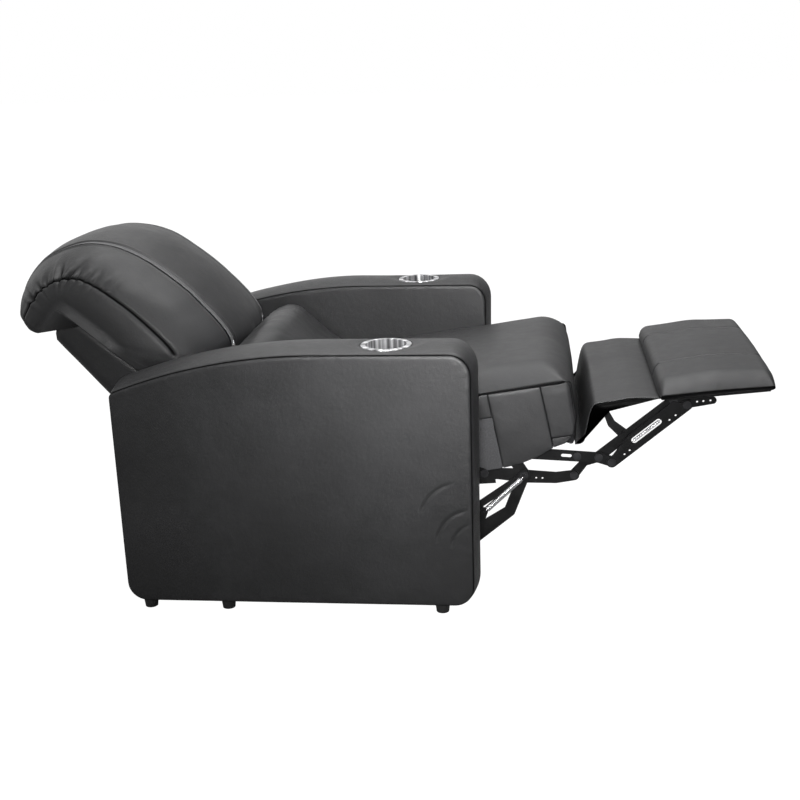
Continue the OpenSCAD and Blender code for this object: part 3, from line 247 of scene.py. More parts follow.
def drift(points, size, seed):
    """Smooth random numbers from -1 to 1: random values on a lattice of that size, blended inside
    each cell."""
    table = np.random.default_rng(seed).uniform(-1, 1, (LATTICE, LATTICE, LATTICE))
    q = np.asarray(points, float) / size
    cell = np.floor(q).astype(int)
    f = q - cell
    f = f * f * (3 - 2 * f)
    total = np.zeros(q.shape[:-1])
    for c in np.ndindex(2, 2, 2):
        corner = np.array(c)
        i = (cell + corner) % LATTICE
        total += np.prod(np.where(corner == 1, f, 1 - f), -1) * table[i[..., 0], i[..., 1], i[..., 2]]
    return total


def drift_along(run, size, seed, aside=0.0):
    """Smooth random numbers that change along one measure alone, as the puckers along a seam do."""
    return drift(np.stack([run, run * 0, run * 0 + aside], -1), size, seed)


def bell(distance, width):
    """1 on the line and falling smoothly to 0 beyond the width."""
    return np.exp(-(distance / width) ** 2)


def rounded_off(distance, radius, depth):
    """How far a rim has rolled down at this distance from it: a quarter circle of that radius, scaled
    to that depth."""
    return depth * (1 - np.sqrt(1 - (np.clip(radius - distance, 0, radius) / radius) ** 2))


print("drift over a metre:", np.round(drift_along(np.linspace(0, 1000, 6), 150.0, 3), 2))

# %% [markdown]
# ## From grids to meshes
# A cover is a grid: rows across the seat, columns round the outline. `cover` joins each four
# neighbours with a face and closes both ends at a pole. `raised` moves a grid along its own
# normals, which is how seams, gathers and soft unevenness are pressed into the leather.

# %% Mesh helpers
def raised(grid, height):
    """The grid moved along its normals by height: a normal is the cross product of the two ways
    across the grid."""
    along = np.roll(grid, -1, 1) - np.roll(grid, 1, 1)
    n = unit(np.cross(along, np.gradient(grid, axis=0)))
    middle = grid.reshape(-1, 3).mean(0)
    if (n * (grid - middle)).sum() < 0:
        n = -n
    return grid + n * height[..., None]


def meshed(name, verts, faces, smooth=True):
    """A new piece from its points and faces, shaded smooth or flat."""
    mesh = bpy.data.meshes.new(name)
    mesh.from_pydata(verts.tolist(), [], faces)
    if smooth:
        mesh.shade_smooth()
    else:
        mesh.shade_flat()
    return linked(name, mesh)


def cover(name, grid, poles=True, marks=None, smooth=True):
    """A mesh over a grid of points in metres, with a pole at each end, and named values kept at its
    points. Where the tetrahedra from its middle add up to less than nothing, its faces are turned."""
    k, m = grid.shape[:2]
    here = np.arange(k * m).reshape(k, m)
    nxt = np.roll(here, -1, 1)
    quads = np.stack([here[:-1], nxt[:-1], nxt[1:], here[1:]], -1).reshape(-1, 4)
    verts = grid.reshape(-1, 3)
    faces = quads.tolist()
    if poles:
        verts = np.vstack([verts, grid[0].mean(0), grid[-1].mean(0)])
        faces += np.stack([np.full(m, k * m), nxt[0], here[0]], -1).tolist()
        faces += np.stack([np.full(m, k * m + 1), here[-1], nxt[-1]], -1).tolist()
    a, b, c, d = (verts[quads[:, corner]] - verts.mean(0) for corner in range(4))
    volume = (np.cross(a, b) * c).sum() + (np.cross(a, c) * d).sum()
    if volume < 0:
        faces = [f[::-1] for f in faces]
    piece = meshed(name, verts, faces, smooth)
    for key, values in (marks or {}).items():
        values = np.broadcast_to(values, (k, m))
        flat = values.ravel()
        if poles:
            flat = np.append(flat, [values[0, 0], values[-1, 0]])
        slot = piece.data.attributes.new(key, "FLOAT", "POINT")
        slot.data.foreach_set("value", flat.astype(np.float32))
    return piece


def cut_with(piece, *cutters):
    """The piece less its cutters, which are closed meshes and go away afterwards."""
    for cutter in cutters:
        cut = piece.modifiers.new("cut", "BOOLEAN")
        cut.operation, cut.solver, cut.object = "DIFFERENCE", "EXACT", cutter
        with bpy.context.temp_override(object=piece, active_object=piece, selected_objects=[piece]):
            bpy.ops.object.modifier_apply(modifier="cut")
        bpy.data.objects.remove(cutter)
    return piece


def turned(name, profile, middle, steps=64):
    """A closed solid turned about an upright line: each [radius, height] of the profile goes round
    in a circle."""
    a = np.linspace(0, 2 * np.pi, steps, endpoint=False)
    r, h = np.array(profile, float).T
    grid = np.stack([middle[0] + r[:, None] * np.cos(a), middle[1] + r[:, None] * np.sin(a),
                     np.repeat(h[:, None], steps, 1)], -1)
    return cover(name, as_drawn(grid), smooth=False)


def prism(name, corners, y0, y1, place=as_drawn, step=20.0):
    """A closed solid: the outline in forward and up, carried from y0 to y1."""
    loop = outline(corners, step)[0]
    return cover(name, place(carried(loop, np.array([y0, y1]))), smooth=False)


def finish_piece(piece, material, body, *nodes, node_slot=None):
    """Gives a piece its material, lets it ride on its body and stand for its nodes."""
    piece.data.materials.clear()
    piece.data.materials.append(material)
    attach(piece, body)
    if nodes:
        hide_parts(*nodes)
    print(piece.name, len(piece.data.polygons), "faces, in", material.name)
    return piece


# %% [markdown]
# ## Shader maths in Python
# A socket is wrapped, so that `0.4 + 0.1 * grain` adds the Math nodes by itself. `Finish` makes
# any other node: settings such as a ramp's stops go in first, then the sockets' values.

# %% Wrapped sockets
class Wire:
    """A socket's output, on which sums add Math nodes."""

    def __init__(self, finish, socket):
        self.finish, self.socket = finish, socket

    def maths(self, operation, a, b):
        return self.finish.node("ShaderNodeMath", {"operation": operation}, {0: a, 1: b})

    def __add__(self, other):
        return self.maths("ADD", self, other)

    def __sub__(self, other):
        return self.maths("SUBTRACT", self, other)

    def __rsub__(self, other):
        return self.maths("SUBTRACT", other, self)

    def __mul__(self, other):
        return self.maths("MULTIPLY", self, other)

    def __truediv__(self, other):
        return self.maths("DIVIDE", self, other)

    def __pow__(self, other):
        return self.maths("POWER", self, other)

    def __abs__(self):
        return self.maths("ABSOLUTE", self, 0.0)

    def __gt__(self, other):
        return self.maths("GREATER_THAN", self, other)

    def most(self, other):
        return self.maths("MINIMUM", self, other)

    def least(self, other):
        return self.maths("MAXIMUM", self, other)

    __radd__, __rmul__ = __add__, __mul__


class Finish:
    """The node tree of a new material, or of a new world."""

    def __init__(self, name, kept_in=None):
        owners = bpy.data.materials if kept_in is None else kept_in
        self.owner = owners.new(name)
        self.owner.use_nodes = True
        self.tree = self.owner.node_tree
        self.tree.nodes.clear()

    def node(self, kind, settings=None, sockets=None, out=0):
        """Any node: its settings go in first, then the values or links of its sockets."""
        n = self.tree.nodes.new(kind)
        for key, value in (settings or {}).items():
            if key == "stops":
                ramp = n.color_ramp.elements
                while len(ramp) < len(value):
                    ramp.new(0.5)
                for element, (place, shade) in zip(ramp, value):
                    element.position = place
                    element.color = (*([shade] * 3 if isinstance(shade, (int, float)) else shade), 1)
            else:
                setattr(n, key, value)
        for key, value in (sockets or {}).items():
            socket = n.inputs[key]
            if isinstance(value, Wire):
                self.tree.links.new(value.socket, socket)
            elif isinstance(value, tuple) and socket.type == "RGBA":
                socket.default_value = (*value, 1)
            else:
                socket.default_value = value
        return Wire(self, n.outputs[out]) if n.outputs else n

    def place(self):
        """Object coordinates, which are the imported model's metres."""
        return self.node("ShaderNodeTexCoord", out=3)

    def mark(self, name):
        """A value that a cover keeps at its points."""
        return self.node("ShaderNodeAttribute", {"attribute_name": name}, out=2)

    def parts(self, vector):
        split = self.node("ShaderNodeSeparateXYZ", sockets={0: vector}).socket.node
        return [Wire(self, s) for s in split.outputs]

    def ray(self, kind):
        """1 for rays of that kind, and 0 for all others."""
        return Wire(self, self.node("ShaderNodeLightPath").socket.node.outputs[f"Is {kind} Ray"])

    def noise(self, vector, scale, detail, rough=0.5):
        return self.node("ShaderNodeTexNoise", None,
                         {"Vector": vector, "Scale": scale, "Detail": detail, "Roughness": rough})

    def bands(self, vector, direction, scale, distortion, detail=2.0):
        return self.node("ShaderNodeTexWave", {"wave_type": "BANDS", "bands_direction": direction},
                         {"Vector": vector, "Scale": scale, "Distortion": distortion, "Detail": detail})

    def ramp(self, value, *stops):
        return self.node("ShaderNodeValToRGB", {"stops": stops}, {0: value})

    def stretched(self, vector, scale):
        return self.node("ShaderNodeMapping", None, {"Vector": vector, "Scale": scale})

    def mix(self, share, a, b):
        mixed = self.node("ShaderNodeMix", {"data_type": "RGBA"}, {0: share, 6: a, 7: b})
        return Wire(self, mixed.socket.node.outputs[2])

    def blend(self, share, a, b):
        return self.node("ShaderNodeMixShader", None, {0: share, 1: a, 2: b})

    def bump(self, height, distance, strength, normal=None):
        sockets = {"Height": height, "Distance": distance, "Strength": strength}
        if normal is not None:
            sockets["Normal"] = normal
        return self.node("ShaderNodeBump", None, sockets)

    def coat(self, **values):
        """A Principled shader: its sockets are named with a low line for each space."""
        named = {key.replace("_", " "): value for key, value in values.items()}
        return self.node("ShaderNodeBsdfPrincipled", None, named)

    def done(self, shader, output="ShaderNodeOutputMaterial"):
        """Ends the tree in its output, and gives the material or the world."""
        self.node(output, None, {"Surface": shader})
        print("finish", self.owner.name, len(self.tree.nodes), "nodes")
        return self.owner


# %% [markdown]
# ## Finishes
# Leather is a dark, fine-pebbled skin with a semi-gloss coat: its pebbles are about a
# millimetre across, its gloss varies over a hand's breadth, and where a seam pulls it down into a
# groove it is painted dark and matt, as painted shade. The seam is a value at the cover's points,
# so the painted shade follows the sewing.

# %% Leather
LEATHER = ((0.3, (0.0085, 0.0085, 0.009)), (0.5, (0.0105, 0.0105, 0.0112)), (0.72, (0.0155, 0.0155, 0.0165)))
# painted shade: dark tones for the seams' grooves and the folds' creases
SEAM_SHADE_TONE, SEAM_SHADE_MATT_TONE, FOLD_SHADE_TONE = (0.0012, 0.0012, 0.0013), (0.0016, 0.0016, 0.0017), (0.003, 0.003, 0.0032)
FOLD_WIDE, FOLD_FADE = 0.0042, 0.02
# three worn creases low on the right arm, pressed in as bumps and darkened with painted shade, as arcs:
# middle x and z, radius, lowest and highest z
FOLDS = [(0.196, 0.222, 0.092, 0.240, 0.318), (0.222, 0.168, 0.084, 0.172, 0.262),
         (0.236, 0.158, 0.066, 0.160, 0.222)]


def shaded_folds(f, at):
    """1 along each fold: a bell of the distance from its arc, faded at both of its ends."""
    x, _, z = f.parts(at)
    lines = []
    for cx, cz, r, low, high in FOLDS:
        run = ((x - cx) * (x - cx) + (z - cz) * (z - cz)) ** 0.5
        off = (run - r) / FOLD_WIDE
        line = f.node("ShaderNodeMath", {"operation": "EXPONENT"}, {0: 0.0 - off * off})
        for ends in (z - low, high - z, cx - 0.012 - x):
            line = line * (ends / FOLD_FADE).least(0.0).most(1.0)
        lines.append(line)
    return lines[0] + lines[1] + lines[2]


def leather(name, folded=False):
    """Cells for pebbles, slow and fine noise for colour and gloss, and painted shade: a dark, dull coat
    along the seam and a darker colour in the folds' creases.
    """
    f = Finish(name)
    at = f.place()
    # the seam mark paints shade along each seam's groove
    seam = f.mark("seam")
    pebbles = f.node("ShaderNodeTexVoronoi", {"feature": "DISTANCE_TO_EDGE"}, {"Vector": at, "Scale": 780.0})
    pores = f.noise(at, 2400.0, 2.0)
    broad = f.noise(at, 7.0, 3.0)
    fine = f.noise(at, 42.0, 4.0, 0.6)
    colour = f.mix(seam, f.ramp(0.65 * broad + 0.35 * fine, *LEATHER), SEAM_SHADE_TONE)
    normal = f.bump(pebbles.most(0.35) * 1.1 + 0.25 * pores, 0.00026, 0.7)
    normal = f.bump(f.noise(at, 130.0, 4.0, 0.6), 0.0013, 0.28, normal)
    normal = f.bump(f.noise(at, 34.0, 3.0, 0.55), 0.003, 0.2, normal)
    if folded:
        folds = shaded_folds(f, at)
        normal = f.bump(0.0 - folds, 0.0024, 0.7, normal)
        # painted shade: the colour is darkened in the folds' creases
        colour = f.mix(folds * 0.5, colour, FOLD_SHADE_TONE)
    skin = f.coat(Base_Color=colour, Roughness=0.29 + 0.22 * broad + 0.20 * fine, Normal=normal,
                  Specular_IOR_Level=0.34, Coat_Weight=0.06, Coat_Roughness=0.32)
    # painted shade: a dark, dull coat for the seam's groove
    seam_shade_coat = f.coat(Base_Color=SEAM_SHADE_MATT_TONE, Roughness=0.9, Specular_IOR_Level=0.02)
    return f.done(f.blend(seam.most(1.0), skin, seam_shade_coat))


leather_arm = leather("arm_leather_right", folded=True)
leather_plain = leather("seat_leather")

# %% [markdown]
# The other finishes follow the same pattern: black paint on the steel links with a slight
# orange peel, blackened rivets, bright zinc on bolts, sliders and pulls, brushed stainless cups
# with painted reflections in upright streaks, sprung steel, plywood with its layers, a rough black
# dust cloth, a plain black lining, zip tape with its teeth, and moulded plastic.

# %% Metals
def painted_steel():
    """Black paint in patches of noise, with few small chips."""
    f = Finish("black_painted_steel")
    at = f.place()
    peel, patch = f.noise(at, 420.0, 2.0), f.noise(at, 26.0, 4.0, 0.65)
    chips = f.ramp(f.noise(at, 150.0, 5.0, 0.7), (0.71, 0.0), (0.76, 1.0))
    paint = f.ramp(patch, (0.3, (0.003, 0.003, 0.0032)), (0.7, (0.008, 0.008, 0.0083)))
    return f.done(f.coat(Base_Color=f.mix(chips * 0.35, paint, (0.05, 0.05, 0.052)), Metallic=0.0,
                         Roughness=0.30 + 0.2 * patch, Specular_IOR_Level=0.12,
                         Normal=f.bump(peel, 0.0002, 0.35)))


def bare_metal(name, light, dark, rough, spread):
    """Clouds between two greys, and scuffs from a noise that is pressed flat."""
    f = Finish(name)
    at = f.place()
    cloud, scuff = f.noise(at, 60.0, 3.0), f.noise(f.stretched(at, (300.0, 300.0, 1800.0)), 1.0, 2.0)
    return f.done(f.coat(Base_Color=f.mix(cloud, dark, light), Metallic=1.0, Roughness=rough + spread * cloud,
                         Normal=f.bump(scuff, 0.00008, 0.3)))


def brushed_cup():
    """Upright streaks of painted reflection, dark and bright, in the colour: noise read along the angle
    about each cup's own axis.
    """
    f = Finish("brushed_stainless")
    at = f.place()
    lines = f.noise(f.stretched(at, (20.0, 20.0, 1500.0)), 1.0, 3.0)
    cloud = f.noise(at, 35.0, 2.0)
    x, y, _ = f.parts(at)
    angle = f.node("ShaderNodeMath", {"operation": "ARCTAN2"}, {0: abs(y) - CUP_Y * MM, 1: x - CUP_X * MM})
    round_wall = f.node("ShaderNodeCombineXYZ", None, {0: angle})
    # painted reflection: dark and bright upright streaks in the metal's colour
    reflection_streaks = f.ramp(f.noise(round_wall, 3.4, 3.0, 0.6),
                    (0.40, (0.07, 0.07, 0.073)), (0.5, (0.38, 0.38, 0.39)), (0.6, (0.92, 0.92, 0.93)))
    return f.done(f.coat(Base_Color=f.mix(0.15 * cloud, reflection_streaks, (0.5, 0.5, 0.51)), Metallic=0.86,
                         Roughness=0.26 + 0.14 * lines, Normal=f.bump(lines, 0.0001, 0.35)))


steel = painted_steel()
zinc = bare_metal("bright_zinc", (0.62, 0.62, 0.63), (0.38, 0.38, 0.39), 0.22, 0.22)
sprung = bare_metal("sprung_steel", (0.82, 0.82, 0.83), (0.58, 0.58, 0.6), 0.12, 0.16)
cup_steel = brushed_cup()


# %% Wood, cloth and plastic
def plywood():
    """Grain is a noise drawn out along X, and the layers are bands across Y."""
    f = Finish("plywood")
    at = f.place()
    grain = f.noise(f.stretched(at, (9.0, 60.0, 60.0)), 1.0, 5.0, 0.65)
    layers = f.bands(at, "Y", 130.0, 1.5)
    tone = f.ramp(grain * 0.75 + layers * 0.25,
                  (0.25, (0.23, 0.14, 0.07)), (0.55, (0.42, 0.29, 0.16)), (0.8, (0.55, 0.41, 0.25)))
    return f.done(f.coat(Base_Color=tone, Roughness=0.55 + 0.2 * grain, Normal=f.bump(grain, 0.0006, 0.4)))


def dust_cloth():
    """Two noises of unlike size, for the fibres and for specks."""
    f = Finish("dust_cloth")
    at = f.place()
    fibres = f.noise(at, 900.0, 6.0, 0.8)
    specks = f.noise(at, 300.0, 4.0, 0.75)
    tone = f.ramp(fibres * 0.5 + specks * 0.5,
                  (0.3, (0.014, 0.014, 0.015)), (0.52, (0.032, 0.032, 0.034)), (0.75, (0.075, 0.075, 0.078)))
    return f.done(f.coat(Base_Color=tone, Roughness=0.82 + 0.12 * fibres, Normal=f.bump(fibres, 0.0009, 0.8)))


def webbing():
    """The weave is diagonal bands."""
    f = Finish("webbing")
    weave = f.bands(f.place(), "DIAGONAL", 160.0, 0.6)
    tone = f.ramp(weave, (0.2, (0.03, 0.03, 0.032)), (0.8, (0.085, 0.083, 0.08)))
    return f.done(f.coat(Base_Color=tone, Roughness=0.8 + 0.1 * weave, Normal=f.bump(weave, 0.0006, 0.7)))


def moulded(name, tone, rough):
    """A slow cloud in colour and gloss, and a fine grain in the surface."""
    f = Finish(name)
    at = f.place()
    spark, cloud = f.noise(at, 1100.0, 3.0, 0.7), f.noise(at, 30.0, 3.0)
    dark, light = tuple(0.75 * c for c in tone), tuple(1.3 * c for c in tone)
    return f.done(f.coat(Base_Color=f.mix(cloud, dark, light), Roughness=rough + 0.12 * cloud,
                         Normal=f.bump(spark, 0.0002, 0.4)))


wood = plywood()
cloth = dust_cloth()
web = webbing()
plastic = moulded("moulded_black", (0.014, 0.014, 0.0145), 0.36)
rubber = moulded("foot_plastic", (0.01, 0.01, 0.01), 0.5)
cloth_black = moulded("black_lining", (0.004, 0.004, 0.0042), 0.8)
dark_zinc = bare_metal("blackened_rivets", (0.05, 0.05, 0.052), (0.022, 0.022, 0.024), 0.3, 0.2)

# %% Zip tape and thread
TOOTH_STEP = 2.4


def zip_tape():
    """Teeth are a sine along the tape, and show in the middle fifth of its width."""
    f = Finish("zip_tape")
    along, across = f.mark("along"), f.mark("across")
    teeth = f.node("ShaderNodeMath", {"operation": "SINE"}, {0: along * (2 * math.pi / TOOTH_STEP)})
    middle = 1.0 - abs(across).least(0.0).most(1.0)
    chain = (middle > 0.8) * (0.6 + 0.4 * teeth)
    weave = f.noise(f.place(), 1600.0, 2.0)
    woven = f.ramp(weave, (0.3, (0.060, 0.060, 0.062)), (0.7, (0.085, 0.085, 0.087)))
    return f.done(f.coat(Base_Color=f.mix(chain, woven, (0.035, 0.035, 0.036)), Roughness=0.6 - 0.15 * chain,
                         Normal=f.bump(chain + 0.2 * weave, 0.0007, 0.8)))


def thread():
    """The twist is a fine noise."""
    f = Finish("sewing_thread")
    twist = f.noise(f.place(), 1500.0, 2.0)
    tone = f.ramp(twist, (0.3, (0.008, 0.008, 0.0085)), (0.7, (0.03, 0.03, 0.031)))
    return f.done(f.coat(Base_Color=tone, Roughness=0.6 + 0.2 * twist, Normal=f.bump(twist, 0.0003, 0.5)))


tape = zip_tape()
stitch_thread = thread()

# %% [markdown]
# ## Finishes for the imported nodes
# The links, boards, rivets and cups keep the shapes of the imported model, and only get a finish.

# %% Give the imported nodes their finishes
FINISHES = (
    (wood, ("arm_frame", "seat_side_boards", "seat_front_board", "seat_rear_board",
            "back_side_boards", "back_top_board", "back_bottom_board")),
    (dark_zinc, ("base_rivets", "seat_rivets", "back_rivets", "fork_rivets", "knee_rivets",
                 "footrest_rivets")),
    (zinc, "base_bolts"), (cup_steel, "cup_holder"), (sprung, "seat_springs"), (web, "back_webbing"),
    (plastic, "release"), (rubber, "arm_feet"), (cloth_black, "footrest_board"),
)
for node_name, node_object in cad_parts.items():
    chosen = next((finish for finish, starts in FINISHES if node_name.startswith(starts)), steel)
    node_object.data.materials.clear()
    node_object.data.materials.append(chosen)
print("finished", len(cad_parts), "nodes")

# %% [markdown]
# ## Arms
# Each arm is a padded box with two flat sides and a crowned band over its front and top. The
# outline is straight up the front, level past the cup and then one long arc down to the back.
# The sides and the band both roll under at the seam between them, which gives the thin dark
# line with a lit edge on each side; the line is also darkened with painted shade from the seam mark.

# %% Arm's outline
ARM_LOW, ARM_HIGH, ARM_FRONT, ARM_BACK = 25.0, 590.0, 216.0, -560.0
ARM_LEVEL, ARM_DROP_R = 330.0, 1240.0
FOOT_R, FRONT_R, REAR_R = 42.0, 46.0, 14.0


def arm_outline():
    """The arc falls from the level stretch's end until it meets the back; then the corners close the loop."""
    fall = math.degrees(math.asin((ARM_FRONT - ARM_BACK - ARM_LEVEL) / ARM_DROP_R))
    turn = np.radians(np.linspace(90, 90 + fall, 26))
    arc = np.stack([ARM_FRONT - ARM_LEVEL + ARM_DROP_R * np.cos(turn),
                    ARM_HIGH - ARM_DROP_R + ARM_DROP_R * np.sin(turn), np.zeros(len(turn))], 1)
    arc[-1, 2] = REAR_R
    corners = [[ARM_BACK, ARM_LOW, FOOT_R], [ARM_FRONT, ARM_LOW, FOOT_R], [ARM_FRONT, ARM_HIGH, FRONT_R]]
    return evened(outline(np.vstack([corners, arc]), 5.0)[0], 460)


arm_loop = arm_outline()
print("arm outline", np.round(np.ptp(arm_loop, 0)), "mm")

# %% Arm's leather
CUP_RIM_Z, CUP_RIM_R, CUP_WELL_R, CUP_WELL_Z = 593.5, 55.0, 46.6, 508.0
ARM_CROWN, ARM_SWELL = 12.0, 1.4
SIDE_MIDDLE, SIDE_REACH = np.array([(ARM_FRONT + ARM_BACK) / 2 + 20, 300.0]), [300, 190]


def side_rings(loop, half):
    """One side, from its middle to its seam: scaled rings that swell as a bell, and then rings inside
    the outline that roll under on a quarter circle."""
    inset = np.array([0.5, 1.3, 2.4, 4, 6, 8.5, 12, 17, 24.0])[::-1]
    rim = [loop - outward(loop) * d for d in inset]
    rim = [ring if d < 6 else softened(ring, int(d / 4)) for ring, d in zip(rim, inset)]
    shares = np.linspace(0.94, 0.0, 19)[-2::-1]
    rings = np.array([SIDE_MIDDLE + (rim[0] - SIDE_MIDDLE) * s for s in shares] + rim)
    under = np.concatenate([np.zeros(len(shares)), rounded_off(inset, 9, 4.2)])[:, None]
    swell = ARM_SWELL * bell(np.linalg.norm((rings - SIDE_MIDDLE) / SIDE_REACH, axis=-1), 1.0)
    side = np.stack([rings[..., 0], half - under + swell, rings[..., 1]], -1)
    return side, np.concatenate([np.full(len(shares), 99.0), inset])


def crowned_band(loop, half):
    """The band between the seams: the outline moved out by a parabola across, strongest where it faces
    forward or up, less a quarter circle at each edge."""
    out = outward(loop)
    facing = np.degrees(np.arctan2(out[:, 1], out[:, 0]))
    crown = ARM_CROWN * np.interp(facing, [-90, -35, -5, 113, 150, 180], [0, 0.7, 1, 1, 0, 0])
    y = both_ways([0, 10, 20, 30, 40, 48, 54, 59, 63, 66, 68, 69.6, 70.6])
    edge = half - 3.9 - np.abs(y)
    dip = rounded_off(edge, 8, 2.6) + 0.4
    rise = crown[None, :] * (1 - (y[:, None] / half) ** 2) - dip[:, None]
    return carried(loop[None] + out[None] * rise[..., None], y), edge


def arm_grid(mid_y, seed):
    """Rows go from the middle of one side out to its seam, over the crowned band, and back to the
    middle of the other side."""
    side, off_side = side_rings(arm_loop, ARM_W / 2)
    band, off_band = crowned_band(arm_loop, ARM_W / 2)
    grid = np.vstack([side * [1, -1, 1], band, side[::-1]])
    off = np.concatenate([off_side, off_band, off_side[::-1]])[:, None] * np.ones(len(arm_loop))
    # painted shade along the seams' grooves
    seam = 1.5 * bell(off, 1.5)
    spots = grid + [0, mid_y * 3, 0]
    run = np.broadcast_to(np.arange(len(arm_loop)) * 5.6, off.shape)
    pucker = 0.5 * drift_along(run, 9.0, seed, aside=seed) * bell(off - 5, 7)
    soft = 0.9 * drift(spots, 190.0, seed + 1) + 0.45 * drift(spots, 70.0, seed + 2) + pucker
    grid = raised(grid, soft * np.clip(off / 6, 0.25, 1))
    # the leather is drawn down round the cup's rim
    reach = np.hypot(grid[..., 0] - CUP_X, grid[..., 1])
    near_cup = (grid[..., 2] > 560) & (reach < 110)
    sunk = CUP_RIM_Z + np.interp(reach, [0, CUP_RIM_R + 2, CUP_RIM_R + 34], [1.2, 1.6, 8.6])
    grid[..., 2] = np.where(near_cup, np.minimum(grid[..., 2], sunk), grid[..., 2])
    grid[..., 1] += mid_y
    return as_drawn(grid), seam


def make_arm(side, sign, material, seed):
    """One arm's cover, less the cup's hole and, on the right, the recess of the release paddle."""
    grid, seam = arm_grid(sign * CUP_Y, seed)
    arm = cover(f"arm_leather_{side}", grid, marks={"seam": seam})
    hole_r = CUP_RIM_R + 1.2
    well = [[hole_r, 640], [hole_r, CUP_RIM_Z - 0.4], [CUP_WELL_R, CUP_RIM_Z - 0.6], [CUP_WELL_R, CUP_WELL_Z]]
    cutters = [turned("well", well, (CUP_X, sign * CUP_Y))]
    if side == "r":
        recess = [[40.5, 519.5, 9], [131.5, 519.5, 9], [131.5, 560.5, 9], [40.5, 560.5, 9]]
        cutters.append(prism("recess", recess, -HALF_GAP + 6, -HALF_GAP - 10.5))
    cut_with(arm, *cutters)
    finish_piece(arm, material, "base", f"arm_cover_{side}")


make_arm("r", -1, leather_arm, 11)
make_arm("l", 1, leather_plain, 23)

# %% [markdown]
# ## Seat
# The seat is one crowned block: a top panel that rolls over the nose and over each side down to
# a seam. `swollen` carries the middle outline sideways and lets it shrink into the seam's
# outline, here on a power curve, as slack leather does. The panels below the seam are separate,
# thin puffed pieces, and the gap between their rolled edges is the upright seams of the
# photograph.

# %% Seat's top panel
EDGE_TURN = np.radians([10, 20, 30, 40, 50, 60, 68, 75, 80, 84, 87.5, 90])
EDGE_SHARE = np.array([0.1, 0.2, 0.31, 0.43, 0.55, 0.66, 0.76, 0.85, 0.92, 0.96, 0.985, 1.0])


def swollen(middle, end, half, edge, crown, flat, power=None, tuck=((0.8, 1.015), (2.5, 1.03))):
    """Rows across: flat as far as half - edge, then a quarter turn into the end outline, which tucks
    under. A slack cover falls with that power of the way instead, and meets its seam at a slant. The
    crown is a parabola. Gives the grid, and how far each row has fallen."""
    reach, fall = np.sin(EDGE_TURN), 1 - np.cos(EDGE_TURN)
    if power is not None:
        reach, fall = EDGE_SHARE, EDGE_SHARE ** power
    y = both_ways([*flat, *(half - edge + edge * reach), *(half - back for back, _ in tuck)])
    share = np.array([*np.zeros(len(flat)), *fall, *(past for _, past in tuck)])
    share = np.concatenate([share[::-1], share[1:]])[:, None]
    loops = middle[None] + (end - middle)[None] * share[..., None]
    loops = loops + crown[None] * (1 - (y / half) ** 2)[:, None, None]
    return carried(loops, y), share


SEAT_EDGE = 84.0
seat_corners = [[-365, 121.8, 6], [118.3, 121.8, 3], [118.3, 60, 3], [127, 60, 5], [138, 121.8, 60],
                [136, 242, 74], [-305, 242, 100], [-365, 220, 44]]
seam_corners = [[-362, 121.8, 6], [110, 121.8, 3], [110, 61, 3], [119, 61, 4], [131, 121.8, 60],
                [131, 207, 20], [-305, 201, 60], [-362, 192, 30]]
seat_mid, seat_counts = outline(seat_corners, 5.0, turn_steps=14)
seat_end, _ = outline(seam_corners, like=seat_counts, turn_steps=14)
faces_up = np.clip(outward(seat_mid)[:, 1], 0, 1) ** 2
seat_crown = outward(seat_mid) * faces_up[:, None] * 4.0
seat_flat = np.linspace(0, SIDE - SEAT_EDGE, 16)
grid, share = swollen(seat_mid, seat_end, SIDE, SEAT_EDGE, seat_crown, seat_flat, power=2.1)
spots = grid + [500, 0, 0]
soft = 1.5 * drift(spots, 150.0, 3) + 0.6 * drift(spots, 55.0, 4)
soft = soft * np.clip(faces_up * 2, 0, 1) * (share < 0.97)
puckers = drift_along(grid[..., 0], 11.0, 5)
soft = soft + 0.6 * puckers * bell((1 - share) * 50 - 6, 8) * (share > 0.5)
grid = raised(grid, soft)
# painted shade along the side seams' grooves
seam = 1.1 * bell((share - 1.0) * 40, 1.0) * (grid[..., 2] > 150)
seat_top = cover("seat_top_leather", seat_down(grid), marks={"seam": seam})
finish_piece(seat_top, leather_plain, "seat", "seat_cushion")

# %% [markdown]
# The side panels hang from the seam. Each is a thin closed form: its face swells a little in the
# middle and rolls back at its rim. They are scaled rings round a middle point, because each
# panel can be seen whole from its own middle. A black lining behind them keeps light out of the
# gaps between them.

# %% Seat's side panels
PANEL_ROLL, PANEL_NOSE, NOSE_R = 1.7, 120.0, 18


